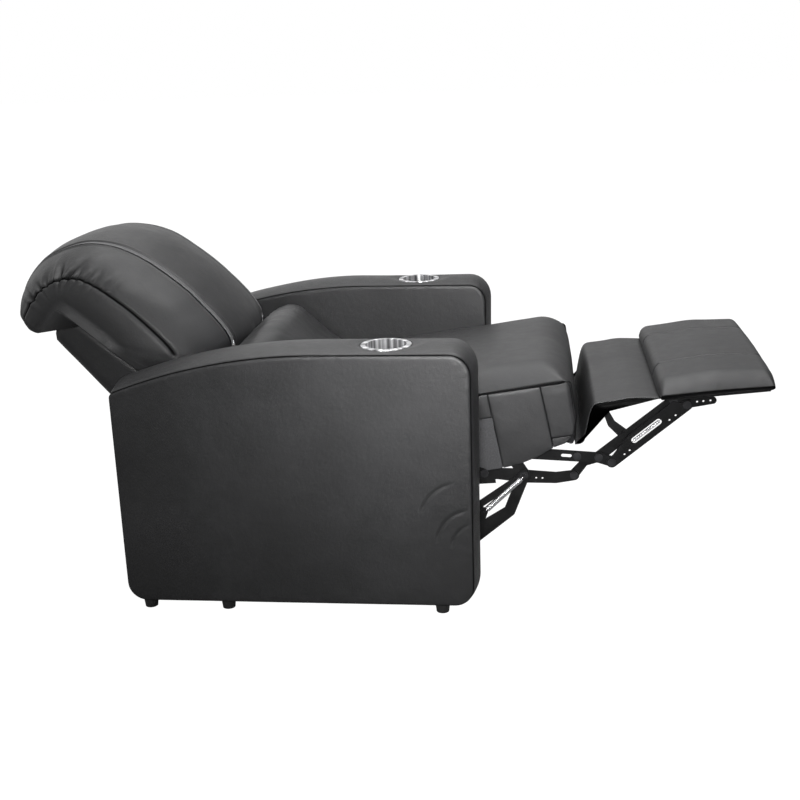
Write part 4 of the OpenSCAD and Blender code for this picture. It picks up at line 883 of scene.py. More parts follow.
def puffed(name, corners, y_face, thick, swell, sign, seed):
    """Rings from the face's middle to its rim, round the rim on a quarter circle, and back behind it. Each
    side of the outline holds the face down: its swell is the product of 1 - exp(-distance) over the sides.
    Past the nose line the face turns inwards on a circle."""
    loop = outline(corners, 6.0, turn_steps=6)[0]
    out, core = outward(loop), loop.mean(0)
    inner = loop - out * PANEL_ROLL
    shares = np.linspace(0.06, 1, 14)
    face = core + (inner - core) * shares[:, None, None]
    held = np.ones(face.shape[:2])
    sides = np.array(corners, float)[:, :2]
    for a, b in zip(sides, np.roll(sides, -1, 0)):
        d = (b - a) / np.linalg.norm(b - a)
        inward = (face[..., 0] - a[0]) * -d[1] + (face[..., 1] - a[1]) * d[0]
        held *= 1 - np.exp(-np.clip(inward, 0, None) / 9.0)
    turn = np.radians([18, 36, 54, 72, 90])[:, None]
    roll = inner + out * PANEL_ROLL * np.sin(turn)[..., None]
    pts = np.concatenate([face, roll, [loop, core + (loop - core) * 0.5]])
    fall = -PANEL_ROLL * 0.8 * (1 - np.cos(turn)) * np.ones(len(loop))
    h = np.concatenate([swell * held, fall, np.full((2, len(loop)), -thick)])
    off = np.concatenate([PANEL_ROLL + 60 * (1 - shares), PANEL_ROLL * (1 - np.sin(turn[:, 0])), [0.0, 30.0]])
    off = off[:, None]
    past = np.clip(pts[..., 0] - PANEL_NOSE, 0, NOSE_R - 0.5) / NOSE_R
    h = h - NOSE_R * (1 - np.sqrt(1 - past ** 2))
    spots = np.stack([pts[..., 0], h * 0 + sign * 400, pts[..., 1]], -1)
    soft = (0.7 * drift(spots, 60.0, seed) + 0.3 * drift(spots, 22.0, seed + 1)) * np.clip(off / 12, 0, 1)
    h[:-2] += soft[:-2]
    grid = np.stack([pts[..., 0], sign * (y_face + h), pts[..., 1]], -1)
    # the rim is darkened with painted shade for the upright seams' grooves
    return cover(name, seat_down(grid), marks={"seam": 0.9 * bell(off, 0.5)})


GAP, CORNER, PANEL_TOP = 0.2, 2.4, 199.5
# how far forward the rear and the front upright seams run, at their tops, lower down and at their feet
REAR_TOP, REAR_AT_CLOTH, REAR_FOOT = -51.2, -49.2, -43.0
FORE_TOP, FORE_AT_LOW, FORE_FOOT = 65.7, 73.1, 74.0
# each panel's finish, how far it is set back, its thickness, its swell and its corners
PANELS = {
    "seat_side_rear": (leather_plain, 0, 7.5, 1.6, [
        [-352, 146, 6], [REAR_AT_CLOTH - GAP, 146, CORNER], [REAR_TOP - GAP, PANEL_TOP, CORNER],
        [-300, PANEL_TOP, 30], [-352, 190, 12]]),
    "seat_dust_patch": (cloth, 1.0, 7.5, 0.4, [
        [-352, 46, 6], [-92, 46, 6], [-80, 24, 5], [REAR_FOOT - GAP, 25.5, CORNER],
        [REAR_AT_CLOTH - GAP, 145, CORNER], [-352, 145, 4]]),
    "seat_side_middle": (leather_plain, 0, 9.0, 1.6, [
        [REAR_FOOT + GAP, 25.5, CORNER], [-4, 29.5, 60], [38, 41, 60], [FORE_FOOT - GAP, 56.5, CORNER],
        [FORE_TOP - GAP, PANEL_TOP, CORNER], [REAR_TOP + GAP, PANEL_TOP, CORNER]]),
    "seat_side_low": (leather_plain, 0, 9.0, 1.6, [
        [FORE_FOOT + GAP, 57, CORNER], [103, 63.5, 20], [120, 78.5, CORNER], [FORE_AT_LOW, 78.5, CORNER]]),
    "seat_side_front": (leather_plain, 0, 9.0, 1.6, [
        [FORE_AT_LOW + GAP, 79.7, CORNER], [121, 79.7, 8], [133.5, 116, 40], [134, 204, 10],
        [108, PANEL_TOP, 30], [FORE_TOP + GAP, PANEL_TOP, CORNER]]),
}
LINING = [[-340, 56, 8], [-50, 36, 8], [70, 66, 8], [110, 86, 8], [110, 140, 8], [-340, 140, 8]]
LINING_IN, LINING_OUT = 276.2, 278.4
for side, sign in SIDES:
    for n, (name, (material, back, thick, swell, corners)) in enumerate(PANELS.items()):
        seed = 40 + 5 * n + (2 if side == "r" else 0)
        panel = puffed(f"{name}_{side}", corners, SIDE - 0.4 - back, thick, swell, sign, seed)
        finish_piece(panel, material, "seat", node_slot="seat_cushion")
    lining = prism(f"seat_side_lining_{side}", LINING, sign * LINING_IN, sign * LINING_OUT, seat_down,
                   step=30.0)
    finish_piece(lining, cloth_black, "seat", node_slot="seat_cushion")

# %% [markdown]
# A strip of black cloth closes the slit between the seat and the lumbar cushion from below. It
# ends short of both sides, where the brackets of the back stand.

# %% Cloth under the slit
SLIT = [[-440, 123, 1], [-352, 123, 1], [-352, 126, 1], [-440, 126, 1]]
slit_cloth = prism("seat_rear_cloth", SLIT, -255.0, 255.0, seat_down)
finish_piece(slit_cloth, cloth_black, "seat", node_slot="seat_cushion")

# %% [markdown]
# Stitches are short tilted threads just over the seam, each a six-sided bead of a few dozen
# faces, so that a hundred of them stay light. One mesh holds a whole row.

# %% Stitches
STITCH, STITCH_GAP, THREAD_R = 4.2, 2.2, 0.55


def stitches(name, path, normal):
    """Beads of thread along a path in millimetres: every bead is a ring of six points carried over five
    stations that swell and close."""
    start = np.arange(STITCH_GAP, run_along(path)[-1] - STITCH, STITCH + STITCH_GAP)
    t = np.array([0, 0.12, 0.5, 0.88, 1.0])
    fat = np.array([0.05, 0.8, 1.0, 0.8, 0.05])[None, :, None, None] * THREAD_R
    mid = at_runs(path, start[:, None] + t[None] * STITCH)
    ahead = unit(mid[:, -1] - mid[:, 0])[:, None]
    n = unit(np.array(normal, float))
    side = unit(np.cross(ahead, n))
    mid = mid + (np.sin(t * np.pi) * 0.35)[None, :, None] * n + side * ((t - 0.5) * 0.7)[None, :, None]
    a = np.linspace(0, 2 * np.pi, 6, endpoint=False)[None, None, :, None]
    ring = mid[:, :, None] + fat * (np.cos(a) * n + np.sin(a) * side[:, :, None])
    index = np.arange(ring[..., 0].size).reshape(ring.shape[:3])
    nxt = np.roll(index, -1, 2)
    faces = np.stack([index[:, :-1], nxt[:, :-1], nxt[:, 1:], index[:, 1:]], -1).reshape(-1, 4).tolist()
    faces += index[:, 0, ::-1].tolist() + index[:, -1].tolist()
    piece = meshed(name, seat_down(ring.reshape(-1, 3)), faces)
    return finish_piece(piece, stitch_thread, "seat", node_slot="seat_cushion")


for side, sign in SIDES:
    row = [[-290.0, 204.6], [-60, 205.2], [100, 205.4], [122, 208.0]]
    path = np.array([[x, sign * (SIDE + 0.1), z] for x, z in row])
    stitches(f"seat_stitches_{side}", path, (0, sign, 0.35))

# %% [markdown]
# ## Lumbar cushion
# Behind the seat lies a soft roll that bulges at the sitter's back. It is made as the seat is,
# with a quarter turn at its ends, a deeper crown, and slack folds where the head cushion presses
# on it. Its lower corners are cut back over the brackets: there no point lies below a slanted line.

# %% Lumbar cushion
BACK_FACE, LUMBAR_EDGE = -123.4, 30.0
lumbar_corners = [[BACK_FACE, 36, 6], [19.3, -8, 20], [70, -2, 34], [62, 124.5, 190],
                  [70, 232, 56], [22, 264, 30], [BACK_FACE, 258, 8]]
lumbar_end_corners = [[BACK_FACE, 40, 5], [12, 2, 14], [46, 10, 24], [38, 124.5, 160],
                      [42, 212, 44], [6, 250, 28], [BACK_FACE, 248, 6]]
lumbar_mid, lumbar_counts = outline(lumbar_corners, 5.0, turn_steps=12)
lumbar_end, _ = outline(lumbar_end_corners, like=lumbar_counts, turn_steps=12)
lumbar_out = outward(lumbar_mid)
lumbar_crown = lumbar_out * np.clip(lumbar_out[:, 0], 0, 1)[:, None] ** 2 * 30.0
grid, share = swollen(lumbar_mid, lumbar_end, SIDE - 0.5, LUMBAR_EDGE, lumbar_crown,
                      [*np.linspace(0, 250, 24), 256.8, 257.4])
spots = grid + [0, 900, 0]
high = np.clip((grid[..., 2] - 120) / 90, 0, 1) * np.clip(np.abs(lumbar_out[:, 0]) + lumbar_out[:, 1], 0, 1)
slant = np.stack([grid[..., 2] * 0.25, grid[..., 1] + 0.5 * grid[..., 2], grid[..., 0] * 0.2], -1)
folds = -np.abs(drift(slant, 21.0, 8)) * 4.5 * high * (1 - 0.4 * bell(grid[..., 1], 120))
soft = 2.0 * drift(spots, 120.0, 6) + 0.7 * drift(spots, 40.0, 7) + folds
grid = raised(grid, soft * (share < 0.97))
# painted shade along the end seams
seam = bell((share - 0.995) * 30, 1.0)
over_bracket = (np.abs(grid[..., 1]) > SIDE - 0.5 - LUMBAR_EDGE + 0.1) & (grid[..., 0] < 31)
floor_line = np.interp(grid[..., 0], [-160, 15, 30], [79, 30, 15])
grid[..., 2] = np.where(over_bracket, np.maximum(grid[..., 2], floor_line), grid[..., 2])
lumbar = cover("lumbar_leather", back_down(grid), marks={"seam": seam})
finish_piece(lumbar, leather_plain, "back", "lumbar_cushion")

# %% [markdown]
# ## Head cushion
# The head cushion is a pillow that wraps over the back's top edge. Its side outline swells from
# a root point on the frame, and towards its ends what lies in front of the root thins with a
# power of the cosine. The side seam, its gathers and the zips' grooves are pressed into it
# along the normals.

# %% Head cushion's form
PILLOW_FOOT, PILLOW_ROOT = np.array([BACK_FACE, 252.3]), np.array([BACK_FACE, 628.6])
PILLOW_HALF, PILLOW_HOOK = 290.0, 72.0
ZIP_Y, SEAM_Y = 150.0, 275.0
head_corners = [[*PILLOW_FOOT, 8], [34, 251.7, 30], [63, 312, 240], [80, 442, 380], [71, 595, 240],
                [2, 705, 215], [-112, 767, 145], [-228, 750, 56], [-238, 660, 24], [-194, 628.6, 8],
                [*PILLOW_ROOT, 0.3]]
head_loop = evened(outline(head_corners, 4.0, turn_steps=16)[0], 430)
smooth_loop = softened(head_loop, 9)
smooth_loop = 2 * smooth_loop - softened(smooth_loop, 9)
# near both places where the cushion meets the frame, its outline stays as drawn
from_frame = np.minimum(*(np.linalg.norm(head_loop - spot, axis=1) for spot in (PILLOW_ROOT, PILLOW_FOOT)))
held_share = np.clip(1.6 - from_frame / 45, 0, 1)[:, None]
head_loop = head_loop * held_share + smooth_loop * (1 - held_share)


def pillow(loop, y):
    """The loop at each y: c is the cosine of the angle whose sine is y over the half width."""
    c = np.sqrt(np.maximum(1 - (y / PILLOW_HALF) ** 2, 0))[:, None]
    d = loop[None] - PILLOW_ROOT
    ahead, above = d[..., 0], d[..., 1]
    hook = np.where(ahead > -PILLOW_HOOK, ahead, (ahead + PILLOW_HOOK) * c ** 0.73 - PILLOW_HOOK)
    v = np.where(ahead > 0, ahead * c ** 0.64, hook)
    u = above * np.where(above > 0, c ** 0.73, c ** 0.25)
    return carried(PILLOW_ROOT + np.stack([v, u], -1), y)


# rows stand closer at the zip, at the side seam and towards the end
head_y = both_ways([0, 14, 28, 44, 60, 78, 96, 114, 128, 131, 133.5, 136, 138, 140, 143, 146.5, ZIP_Y, 153.5,
                    157, 160, 162, 164, 166.5, 169, 173, 178, 190, 203, 216, 228, 239, 247, 253.5, 259, 263,
                    266.5, 269, 271, 272.4, 273.5, 274.3, SEAM_Y, 275.7, 276.6, 278, 279.6, 281.4, 283.2, 285,
                    286.5, 287.7, 288.6, 289.2, 289.6])
head = pillow(head_loop, head_y)
head_x, head_z = head_loop.T
on_front = np.clip((head_x + 118) / 16, 0, 1) * np.clip((head_z - 262) / 12, 0, 1)
on_front = np.maximum(on_front, np.clip((head_z - 672) / 16, 0, 1))
across = np.abs(head_y)[:, None] * np.ones(len(head_loop))
seam_off, zip_off = across - SEAM_Y, across - ZIP_Y
print("head cushion grid", head.shape[:2])

# %% [markdown]
# The side seam gathers the leather in ten places. A gather is a valley that starts at the seam and
# fades inwards on a power curve, with a low ridge beside it; each leans and widens by chance.

# %% Head cushion's gathers
# each gather's height over the hinge, its place forward of it (0 on the cushion's front), its depth
# and how far it runs inwards
GATHERS = [(695, -150, 4.4, 34), (691, -118, 4.0, 30), (684, -100, 2.6, 22), (664, 0, 4.8, 38),
           (650, 0, 4.4, 34), (634, 0, 2.4, 26), (617, 0, 1.8, 30), (596, 0, 1.5, 28), (574, 0, 1.1, 24),
           (552, 0, 0.9, 22)]
GATHER_DEEPER, GATHER_SWELL, GATHER_STEP = 1.9, 0.45, 11
seam_line = pillow(head_loop, np.array([SEAM_Y]))[0]
seam_run = run_along(seam_line)
gathered = np.zeros_like(across)
rng = np.random.default_rng(5)
for u, v, depth, reach in GATHERS:
    beside = np.abs(seam_line[:, 0] - v) if v else np.where(seam_line[:, 0] < -112, 500, 0)
    mid = seam_run[int(np.argmin(np.abs(seam_line[:, 2] - u) + beside))]
    lean = rng.uniform(-0.25, 0.45)
    wide, depth = rng.uniform(3.2, 4.8), depth * GATHER_DEEPER
    inner, beyond = np.clip(-seam_off, 0, None), np.clip(seam_off, 0, None)
    leaning = seam_run[None, :] - mid - lean * np.clip(-seam_off, -12, 90)
    fade = np.where(seam_off < 0, np.exp(-(inner / reach) ** 1.5), np.exp(-(beyond / 7) ** 2) * 0.6)
    gathered -= depth * bell(leaning, wide + 0.06 * np.abs(seam_off)) * fade
    gathered += GATHER_SWELL * depth * bell(leaning - GATHER_STEP, wide) * fade
print("deepest gather", round(-gathered.min(), 1), "mm")

# %% Head cushion's leather
spots = head + [0, 0, 1500]
soft = 2.4 * drift(spots, 150.0, 12) + 0.9 * drift(spots, 52.0, 13) + 0.25 * drift(spots, 20.0, 14)
press = soft * np.clip((290 - across) / 30, 0, 1) * on_front + gathered * on_front
press -= (2.4 * bell(seam_off, 1.7) - 0.9 * bell(np.abs(seam_off) - 4.5, 2.6)) * on_front
press -= (2.6 * bell(zip_off, 10.5) - 2.2 * bell(np.abs(zip_off) - 13.5, 3.0)) * on_front
# slack folds where the cushion turns down behind the back, and along its lower lip
x, y, z = np.moveaxis(head, -1, 0)
tuck_folds = -np.abs(drift(np.stack([y * 0.9, z * 0.3, x * 0.1], -1), 24.0, 15))
behind = np.clip((-head_x - 150) / 40, 0, 1) * np.clip((head_z - 640) / 20, 0, 1)
press += tuck_folds * 4.0 * behind * np.clip((across - 180) / 80, 0, 1)
lip = bell(head_z - 262, 26) * (head_x > -60)
press += drift(np.stack([y, x * 0.4, z * 0.2], -1), 26.0, 16) * 2.2 * lip
# painted shade along the side seam's groove and in the gathers' valleys
seam = np.maximum(1.3 * bell(seam_off, 1.0), np.clip(-gathered - 2.5, 0, 5) * 0.12) * on_front
head_cover = cover("head_leather", back_down(raised(head, press)), marks={"seam": seam})
finish_piece(head_cover, leather_plain, "back", "head_cushion")

# %% [markdown]
# ## Zips
# Two zips run from the lower lip over the top. Each is a tape in its groove, carried along the
# pillow's own outline, with teeth in its material. A slider with a small pull ends it.

# %% Zips
TAPE_WIDE, TAPE_THICK, TAPE_SUNK = 22.0, 1.2, -0.5
ACROSS = np.array([0, 1, 0])


def ribbon(name, line):
    """A flat strip along a line: its section is a rounded bar across Y, and its up is the line's normal
    in the side plane."""
    out = unit(np.stack([np.gradient(line[:, 2]), np.zeros(len(line)), -np.gradient(line[:, 0])], -1))
    y = np.array([-1, -0.96, -0.5, 0, 0.5, 0.96, 1, 0.96, 0, -0.96])
    h = np.array([0, 1, 1.1, 1.35, 1.1, 1, 0, -1, -1, -1]) * TAPE_THICK / 2 + TAPE_SUNK
    grid = line[:, None] + (y * TAPE_WIDE / 2)[None, :, None] * ACROSS + h[None, :, None] * out[:, None]
    return cover(name, back_down(grid), marks={"along": run_along(line)[:, None], "across": y})


def slider(name, end, ahead, normal):
    """A rounded saddle on the tape: ellipses at stations along it, each with its half width and height."""
    t, w, h = np.array([(-7, 0.5, 0.4), (-6, 4.2, 1.2), (-3, 5.0, 2.4), (0, 4.4, 3.0), (4, 3.2, 2.6),
                        (7, 2.6, 1.4), (8, 0.5, 0.4)]).T[..., None, None]
    a = np.linspace(0, 2 * np.pi, 20, endpoint=False)[:, None]
    rows = end + ahead * (t + 8) + normal * 0.6 + np.cos(a) * w * ACROSS + np.sin(a) * h * normal
    return cover(name, back_down(rows))


def pull_ring(name, end, ahead, normal):
    """A flat ring: a thin round wire along a long oval that lies over the slider."""
    b = np.linspace(0, 2 * np.pi, 28, endpoint=False)[:, None]
    c = np.linspace(0, 2 * np.pi, 8, endpoint=False)[None, :, None]
    wide = np.sign(np.sin(b)) * np.abs(np.sin(b)) ** 0.7 * 2.7
    spine = end + normal * 3.4 + wide * ACROSS + (np.cos(b) * 7.5 + 1) * ahead
    away = unit(spine - spine.mean(0))
    ring = spine[:, None] + 0.75 * (np.cos(c) * away[:, None] + np.sin(c) * normal * 0.8)
    return cover(name, back_down(np.vstack([ring, ring[:1]])), poles=False)


lip_start = int(np.argmin(np.abs(head_z - 256) + np.where(head_x > 0, 0, 999)))
top_end = int(np.argmin(np.abs(head_x + 205) + np.where(head_z > 700, 0, 999)))
in_groove = raised(head, np.where(np.abs(zip_off) < 40, soft * on_front, press))
for side, sign in SIDES:
    rest = in_groove[int(np.argmin(np.abs(head_y - sign * ZIP_Y))), lip_start:top_end + 1]
    ahead = unit(rest[8] - rest[0])
    at_end = (rest[2], ahead, unit(np.array([ahead[2], 0, -ahead[0]])))
    finish_piece(ribbon(f"zip_{side}", rest), tape, "back", node_slot="head_cushion")
    finish_piece(slider(f"zip_slider_{side}", *at_end), zinc, "back", node_slot="head_cushion")
    finish_piece(pull_ring(f"zip_pull_{side}", *at_end), zinc, "back", node_slot="head_cushion")

# %% [markdown]
# ## Outside back
# The outside back is a padded shell with wings that taper towards the top. Its section is a
# rounded box, and each height has its own depth, because the rear face leans away.

# %% Outside back
SHELL_HALF, SHELL_FORE, SHELL_LOW = SIDE - 0.5, -119.4, 20
SHELL_FORE_R, SHELL_REAR_R = 16.0, 30.0
DEPTH_LOW, DEPTH_HIGH, DEPTH_RUN, SHELL_PLAY = 150, 58, 608, 13


def shell_section(u):
    """A rounded box whose depth falls evenly with the height u, drawn in a little where the shell closes."""
    depth = DEPTH_LOW + (DEPTH_HIGH - DEPTH_LOW) * (u - SHELL_LOW) / DEPTH_RUN + SHELL_PLAY
    close = np.interp(u, [20, 24, 38, 600, 611, 620.5], [9, 5, 0, 0, 5, 16])
    fore = SHELL_FORE - close
    rear = fore - (depth - 2 * close)
    corners = [[fore, -SHELL_HALF, SHELL_FORE_R], [fore, SHELL_HALF, SHELL_FORE_R],
               [rear, SHELL_HALF, SHELL_REAR_R], [rear, -SHELL_HALF, SHELL_REAR_R]]
    loop = outline(corners, like=np.array([60, 9, 60, 9]), turn_steps=10)[0]
    return np.stack([loop[:, 0], loop[:, 1] * (SHELL_HALF - close) / SHELL_HALF, np.full(len(loop), u)], -1)


heights = np.concatenate([[20.0, 21.0, 24.0, 29.0], np.linspace(38, 600, 40), [606, 611, 615, 618, 620.5]])
shell = np.array([shell_section(u) for u in heights])
shell[..., 2] -= np.clip((-125.4 - shell[..., 0]) / 58, 0, 1) * 12 * np.clip((shell[..., 2] - 560) / 60, 0, 1)
spots = shell + [0, 0, 3000]
shell = raised(shell, 1.1 * drift(spots, 130.0, 31) + 0.5 * drift(spots, 45.0, 32))
welt = np.abs(np.abs(shell[..., 1]) - (SIDE - 26))
on_back = np.clip((-150 - shell[..., 0]) / 20, 0, 1)
shell = raised(shell, -1.6 * bell(welt, 2.2) * on_back)
# painted shade along the welt's groove, which is also pressed in
back_cover = cover("outside_back_leather", back_down(shell), marks={"seam": bell(welt, 1.4) * on_back})
finish_piece(back_cover, leather_plain, "back", "back_shell")

# %% [markdown]
# ## Footrest pad
# The pad is a thin crowned cushion with two sewn channels from front to back. It is made as the
# seat is, and the channels are pressed in along the normals of what faces up.

# %% Footrest pad
PAD_HALF, PAD_EDGE, CHANNEL_Y = 293.0, 55.0, 134
pad_corners = [[-28, 10.3, 4], [208, 10.3, 5], [218, 18.8, 7], [212, 43.3, 22], [95, 53.3, 300],
               [-24, 45.3, 24], [-32, 20.5, 8]]
pad_end_corners = [[-26, 10.3, 3], [206, 10.3, 4], [215, 14.5, 3], [211, 18.5, 3], [95, 20.0, 300],
                   [-24, 19, 3], [-29, 14.5, 3]]
pad_mid, pad_counts = outline(pad_corners, 4.0, turn_steps=10)
pad_end, _ = outline(pad_end_corners, like=pad_counts, turn_steps=10)
face_up = np.clip(outward(pad_mid)[:, 1], 0, 1)
pad_flat = [*np.linspace(0, 118, 9), 124, 128, 130.5, 132.5, 134, 135.5, 137.5, 140, 144, 150,
            *np.linspace(160, PAD_HALF - PAD_EDGE, 8)]
pad_crown = outward(pad_mid) * face_up[:, None] ** 2 * 8
grid, share = swollen(pad_mid, pad_end, PAD_HALF, PAD_EDGE, pad_crown, pad_flat, power=1.9,
                      tuck=((0.6, 1.01), (2.0, 1.02)))
channel = np.abs(np.abs(grid[..., 1]) - CHANNEL_Y)
sewn = np.clip(face_up * 1.5, 0, 1)
puckers = drift(np.stack([grid[..., 0], grid[..., 1] * 0.1, channel * 0], -1), 13.0, 51)
puckers = puckers * bell(channel - 7, 8)
spots = grid + [4000, 0, 0]
press = -(3.6 * bell(channel, 3.2)) * sewn
press += (1.2 * drift(spots, 110.0, 52) + 0.4 * drift(spots, 38.0, 53) + 0.8 * puckers) * face_up
press += 0.5 * drift_along(grid[..., 0], 9.0, 54, aside=7) * bell((1 - share) * 18 - 4, 4) * (share > 0.3)
# painted shade along the sewn channels and the edge seam
seam = np.maximum(1.4 * bell(channel, 1.3) * sewn, bell((share - 0.995) * 18, 0.8))
pad = cover("footrest_leather", pad_down(raised(grid, press)), marks={"seam": seam})
finish_piece(pad, leather_plain, "footrest", "footrest_pad")

# %% [markdown]
# ## Calf flap
# One sheet of leather hangs between the seat's nose and the pad, over the knee board. Its path
# is a smooth curve through the places that hold it, and it ripples a little between them.

# %% Calf flap
FLAP_HALF, FLAP_EDGE, HEM_Y = 273.0, 2.5, 262
FLAP_POINTS = [(435.6, 341.8), (446, 342.6), (453.9, 347.7), (457.5, 362), (461, 384), (466, 409), (471, 426),
               (478, 435.5), (490, 438.0), (520, 442.0), (554, 448.8), (585, 448.2), (619.5, 447.2)]


def smooth_path(points, count, rounds=3):
    """Corner cutting: each round replaces every point by two, a quarter of the way to its neighbours.
    Gives the points at even distances, and the path's length."""
    p = np.array(points, float)
    for _ in range(rounds):
        q, r = 0.75 * p[:-1] + 0.25 * p[1:], 0.25 * p[:-1] + 0.75 * p[1:]
        p = np.vstack([p[:1], np.stack([q, r], 1).reshape(-1, p.shape[1]), p[-1:]])
    long = run_along(p)[-1]
    return at_runs(p, np.linspace(0, long, count)), long


line, flap_long = smooth_path(FLAP_POINTS, 90)
out = unit(np.stack([-np.gradient(line[:, 1]), np.gradient(line[:, 0])], 1))
y = both_ways([0, 20, 45, 70, 95, 120, 145, 170, 195, 215, 232, 246, 257, 265, 270, 272.6, FLAP_HALF])
near_edge = np.clip(np.abs(y) - (FLAP_HALF - FLAP_EDGE), 0, FLAP_EDGE) / FLAP_EDGE
half_thick = FLAP_EDGE * np.sqrt(np.clip(1 - near_edge ** 2, 0, 1))[:, None, None]
wide, down = np.meshgrid(y, np.arange(len(line)) * 2.0, indexing="ij")
held = np.sin(np.linspace(0, np.pi, len(line)))
ripple = (drift(np.stack([wide, down, wide * 0], -1), 60.0, 61) * 1.3 * held)[..., None]
top, low = line[None] + out[None] * (half_thick + ripple), line[None] - out[None] * (half_thick - ripple)
grid = carried(np.concatenate([top, low[:, ::-1]], 1), y)
# painted shade along the hem line on each side
hem_shade = bell(np.abs(np.abs(y) - HEM_Y)[:, None], 1.2)
flap = cover("calf_flap_leather", as_drawn(grid), marks={"seam": hem_shade})
finish_piece(flap, leather_plain, "footrest", "calf_flap")
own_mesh(flap)
print("flap", round(flap_long, 1), "mm long")

# %% [markdown]
# ## Springs
# Real assist springs are close-wound steel with a hook at each end, and read as a bright ribbed
# bar; here a straight stub stands for each hook. The small ones sit in the windows of the outer
# links. A coil is a tube along a helix: the rings of the tube stand square to the wire, with one
# fixed direction to start from.

# %% Springs
def tube(name, path, wire, sides):
    """Rings square to a path: the first direction is square to the run, and the second is their cross
    product."""
    ahead = unit(np.gradient(path, axis=0))
    side = unit(np.cross(ahead, np.array([0.31, 0.17, 0.93])))
    lift = np.cross(side, ahead)
    a = np.linspace(0, 2 * np.pi, sides, endpoint=False)[None, :, None]
    rings = path[:, None] + wire * (np.cos(a) * side[:, None] + np.sin(a) * lift[:, None])
    return cover(name, as_drawn(rings))


def coil(start, end, radius, turns, stub, per_turn):
    """A helix between two points: straight stubs, half a turn that opens, the turns, and half a turn
    that closes."""
    start, end = np.array(start, float), np.array(end, float)
    ahead = unit(end - start)
    y = np.array([0.0, 1.0, 0.0])
    up = np.cross(ahead, y)
    t = np.linspace(0, turns + 1, int((turns + 1) * per_turn))[:, None]
    r = radius * np.clip(np.minimum(2 * t, 2 * (turns + 1 - t)), 0, 1)
    s = stub + (np.linalg.norm(end - start) - 2 * stub) * t / (turns + 1)
    wound = start + ahead * s + y * (r * np.sin(2 * np.pi * t)) + up * (r * np.cos(2 * np.pi * t))
    return np.vstack([start, start + ahead * stub * 0.6, wound, end - ahead * stub * 0.6, end])


LUG, SPRING_PIN, PIN_PLAY = np.array([234.0, 185.0]), np.array(SEAT_PIVOT), 1.9
WINDOW, LINK_TURN, LINK_LONG = np.array([590.764, 372.363]), math.radians(39.9), 79.4
LUG_Y, WINDOW_Y = 289.158, 272.7
assist_run = unit(SPRING_PIN - LUG) * PIN_PLAY
link_run = np.array([math.cos(LINK_TURN), math.sin(LINK_TURN)]) * LINK_LONG / 2
for side, sign in SIDES:
    ends = [(x, sign * LUG_Y, z) for x, z in (LUG + assist_run, SPRING_PIN - assist_run)]
    spring = tube(f"assist_spring_steel_{side}", coil(*ends, 5.5, 32, 6.0, per_turn=12), 1.5, 7)
    finish_piece(spring, sprung, "base", f"assist_spring_{side}")
    ends = [(x, sign * WINDOW_Y, z) for x, z in (WINDOW - link_run, WINDOW + link_run)]
    small = tube(f"link_spring_steel_{side}", coil(*ends, 3.3, 26, 4.0, per_turn=10), 0.9, 6)
    finish_piece(small, sprung, "outer_link_" + side, f"link_spring_{side}")

# %% [markdown]
# ## Floor and light
# The photograph has a plain white ground. The floor shows white to the camera, and stays partly a
# real surface, so it keeps the seat's soft shadow. The light is two large soft lamps above, two small
# ones at the seat's right, where the camera is, and a pale world. What glossy surfaces see of that
# world fades from white at the back to grey at the footrest, as the gloss does in the photograph.

# %% Floor
FLOOR_HALF, FLOOR_DROP, GLOW, SHOWN = 30.0, 0.0005, 1.24, 0.82
WHITE = (1.0, 1.0, 1.0)


def ground():
    """A grey surface, mixed with a white glow by the kind of ray that meets it."""
    f = Finish("studio_floor")
    grain = f.noise(f.place(), 3.0, 2.0)
    tone = f.ramp(grain, (0.3, (0.33, 0.33, 0.33)), (0.7, (0.36, 0.36, 0.36)))
    solid = f.node("ShaderNodeBsdfDiffuse", None, {"Color": tone})
    glow = f.node("ShaderNodeEmission", None, {"Color": WHITE, "Strength": GLOW})
    seen = SHOWN * f.ray("Camera") + 0.04 * f.ray("Glossy") + SHOWN * f.ray("Transmission")
    return f.done(f.blend(seen, solid, glow))


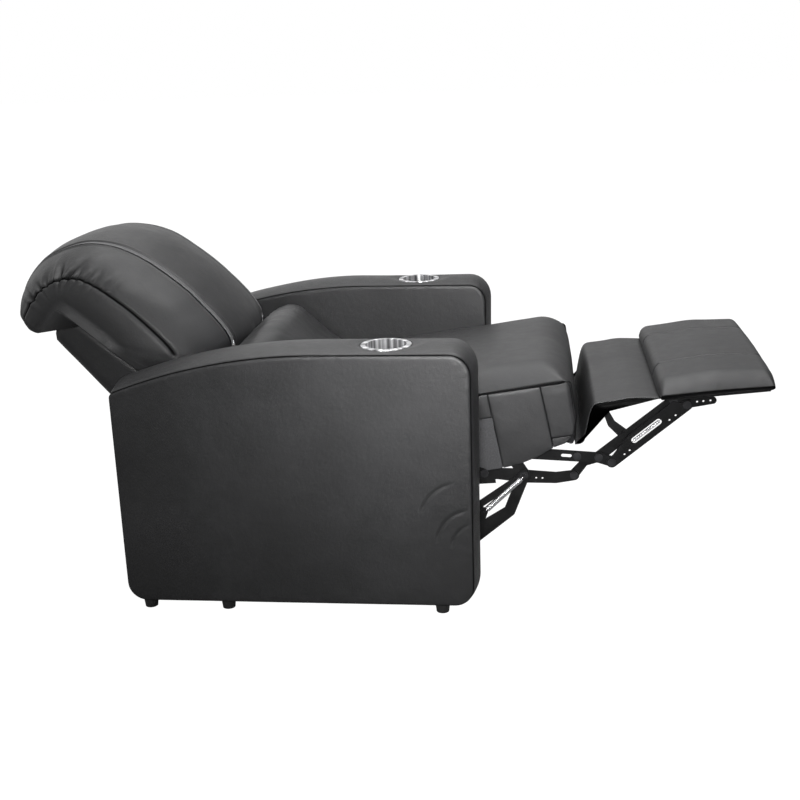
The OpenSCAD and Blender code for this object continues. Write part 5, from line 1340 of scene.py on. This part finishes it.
ring = np.array([(-1, -1, 0), (1, -1, 0), (1, 1, 0), (-1, 1, 0)]) * FLOOR_HALF
floor = meshed("floor", ring, [(0, 1, 2, 3)], smooth=False)
floor.data.materials.append(ground())
floor.location.z = -FLOOR_DROP
floor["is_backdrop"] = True

# %% World
WORLD_LIGHT = 0.45


def studio():
    """White for the camera, white that fades along X in reflections, and one level for all else."""
    w = Finish("studio", bpy.data.worlds)
    toward_feet = w.parts(w.node("ShaderNodeTexCoord"))[0]
    fade = w.node("ShaderNodeMapRange", None,
                  {"Value": toward_feet, "From Min": -0.12, "From Max": 0.45, "To Min": 1.0, "To Max": 0.3})
    pale = w.node("ShaderNodeBackground", None, {"Color": WHITE, "Strength": WORLD_LIGHT})
    white = w.node("ShaderNodeBackground", None, {"Color": WHITE, "Strength": w.ray("Camera").least(fade)})
    return w.done(w.blend(w.ray("Camera").least(w.ray("Glossy")), pale, white), "ShaderNodeOutputWorld")


bpy.context.scene.world = studio()


# %% Lamps
def lamp(name, place, aim_at, width, height, power, spread=180):
    """A soft rectangle of light that faces the point it is aimed at."""
    light = bpy.data.lights.new(name, "AREA")
    light.shape, light.size, light.size_y, light.energy = "RECTANGLE", width, height, power
    light.spread = math.radians(spread)
    shown = linked(name, light)
    shown.location = place
    run = mathutils.Vector(aim_at) - mathutils.Vector(place)
    shown.rotation_euler = run.to_track_quat("-Z", "Y").to_euler()
    print(name, power, "W")


lamp("top_softbox", (0.2, 0.9, 3.0), (0.1, 0.0, 0.4), 3.0, 1.6, 55)
lamp("high_softbox", (0.5, -0.5, 2.6), (0.0, -0.1, 0.45), 1.4, 0.9, 34)
lamp("low_softbox", (0.25, -1.9, 0.6), (0.2, -0.45, 0.6), 0.5, 0.5, 1.6, 50)
lamp("side_softbox", (0.3, -2.1, 1.25), (0.1, 0.3, 0.5), 0.6, 0.4, 6.5, 50)

# %% [markdown]
# ## The end
# The sizes of the imported model and of the dressed one are printed side by side, in millimetres.

# %% Sizes, and the end
low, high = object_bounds()
for kind, corners in (("visual", (*low, *high)), ("cad", (*cad_low, *cad_high))):
    print(kind, "box", [round(v / MM, 1) for v in corners])
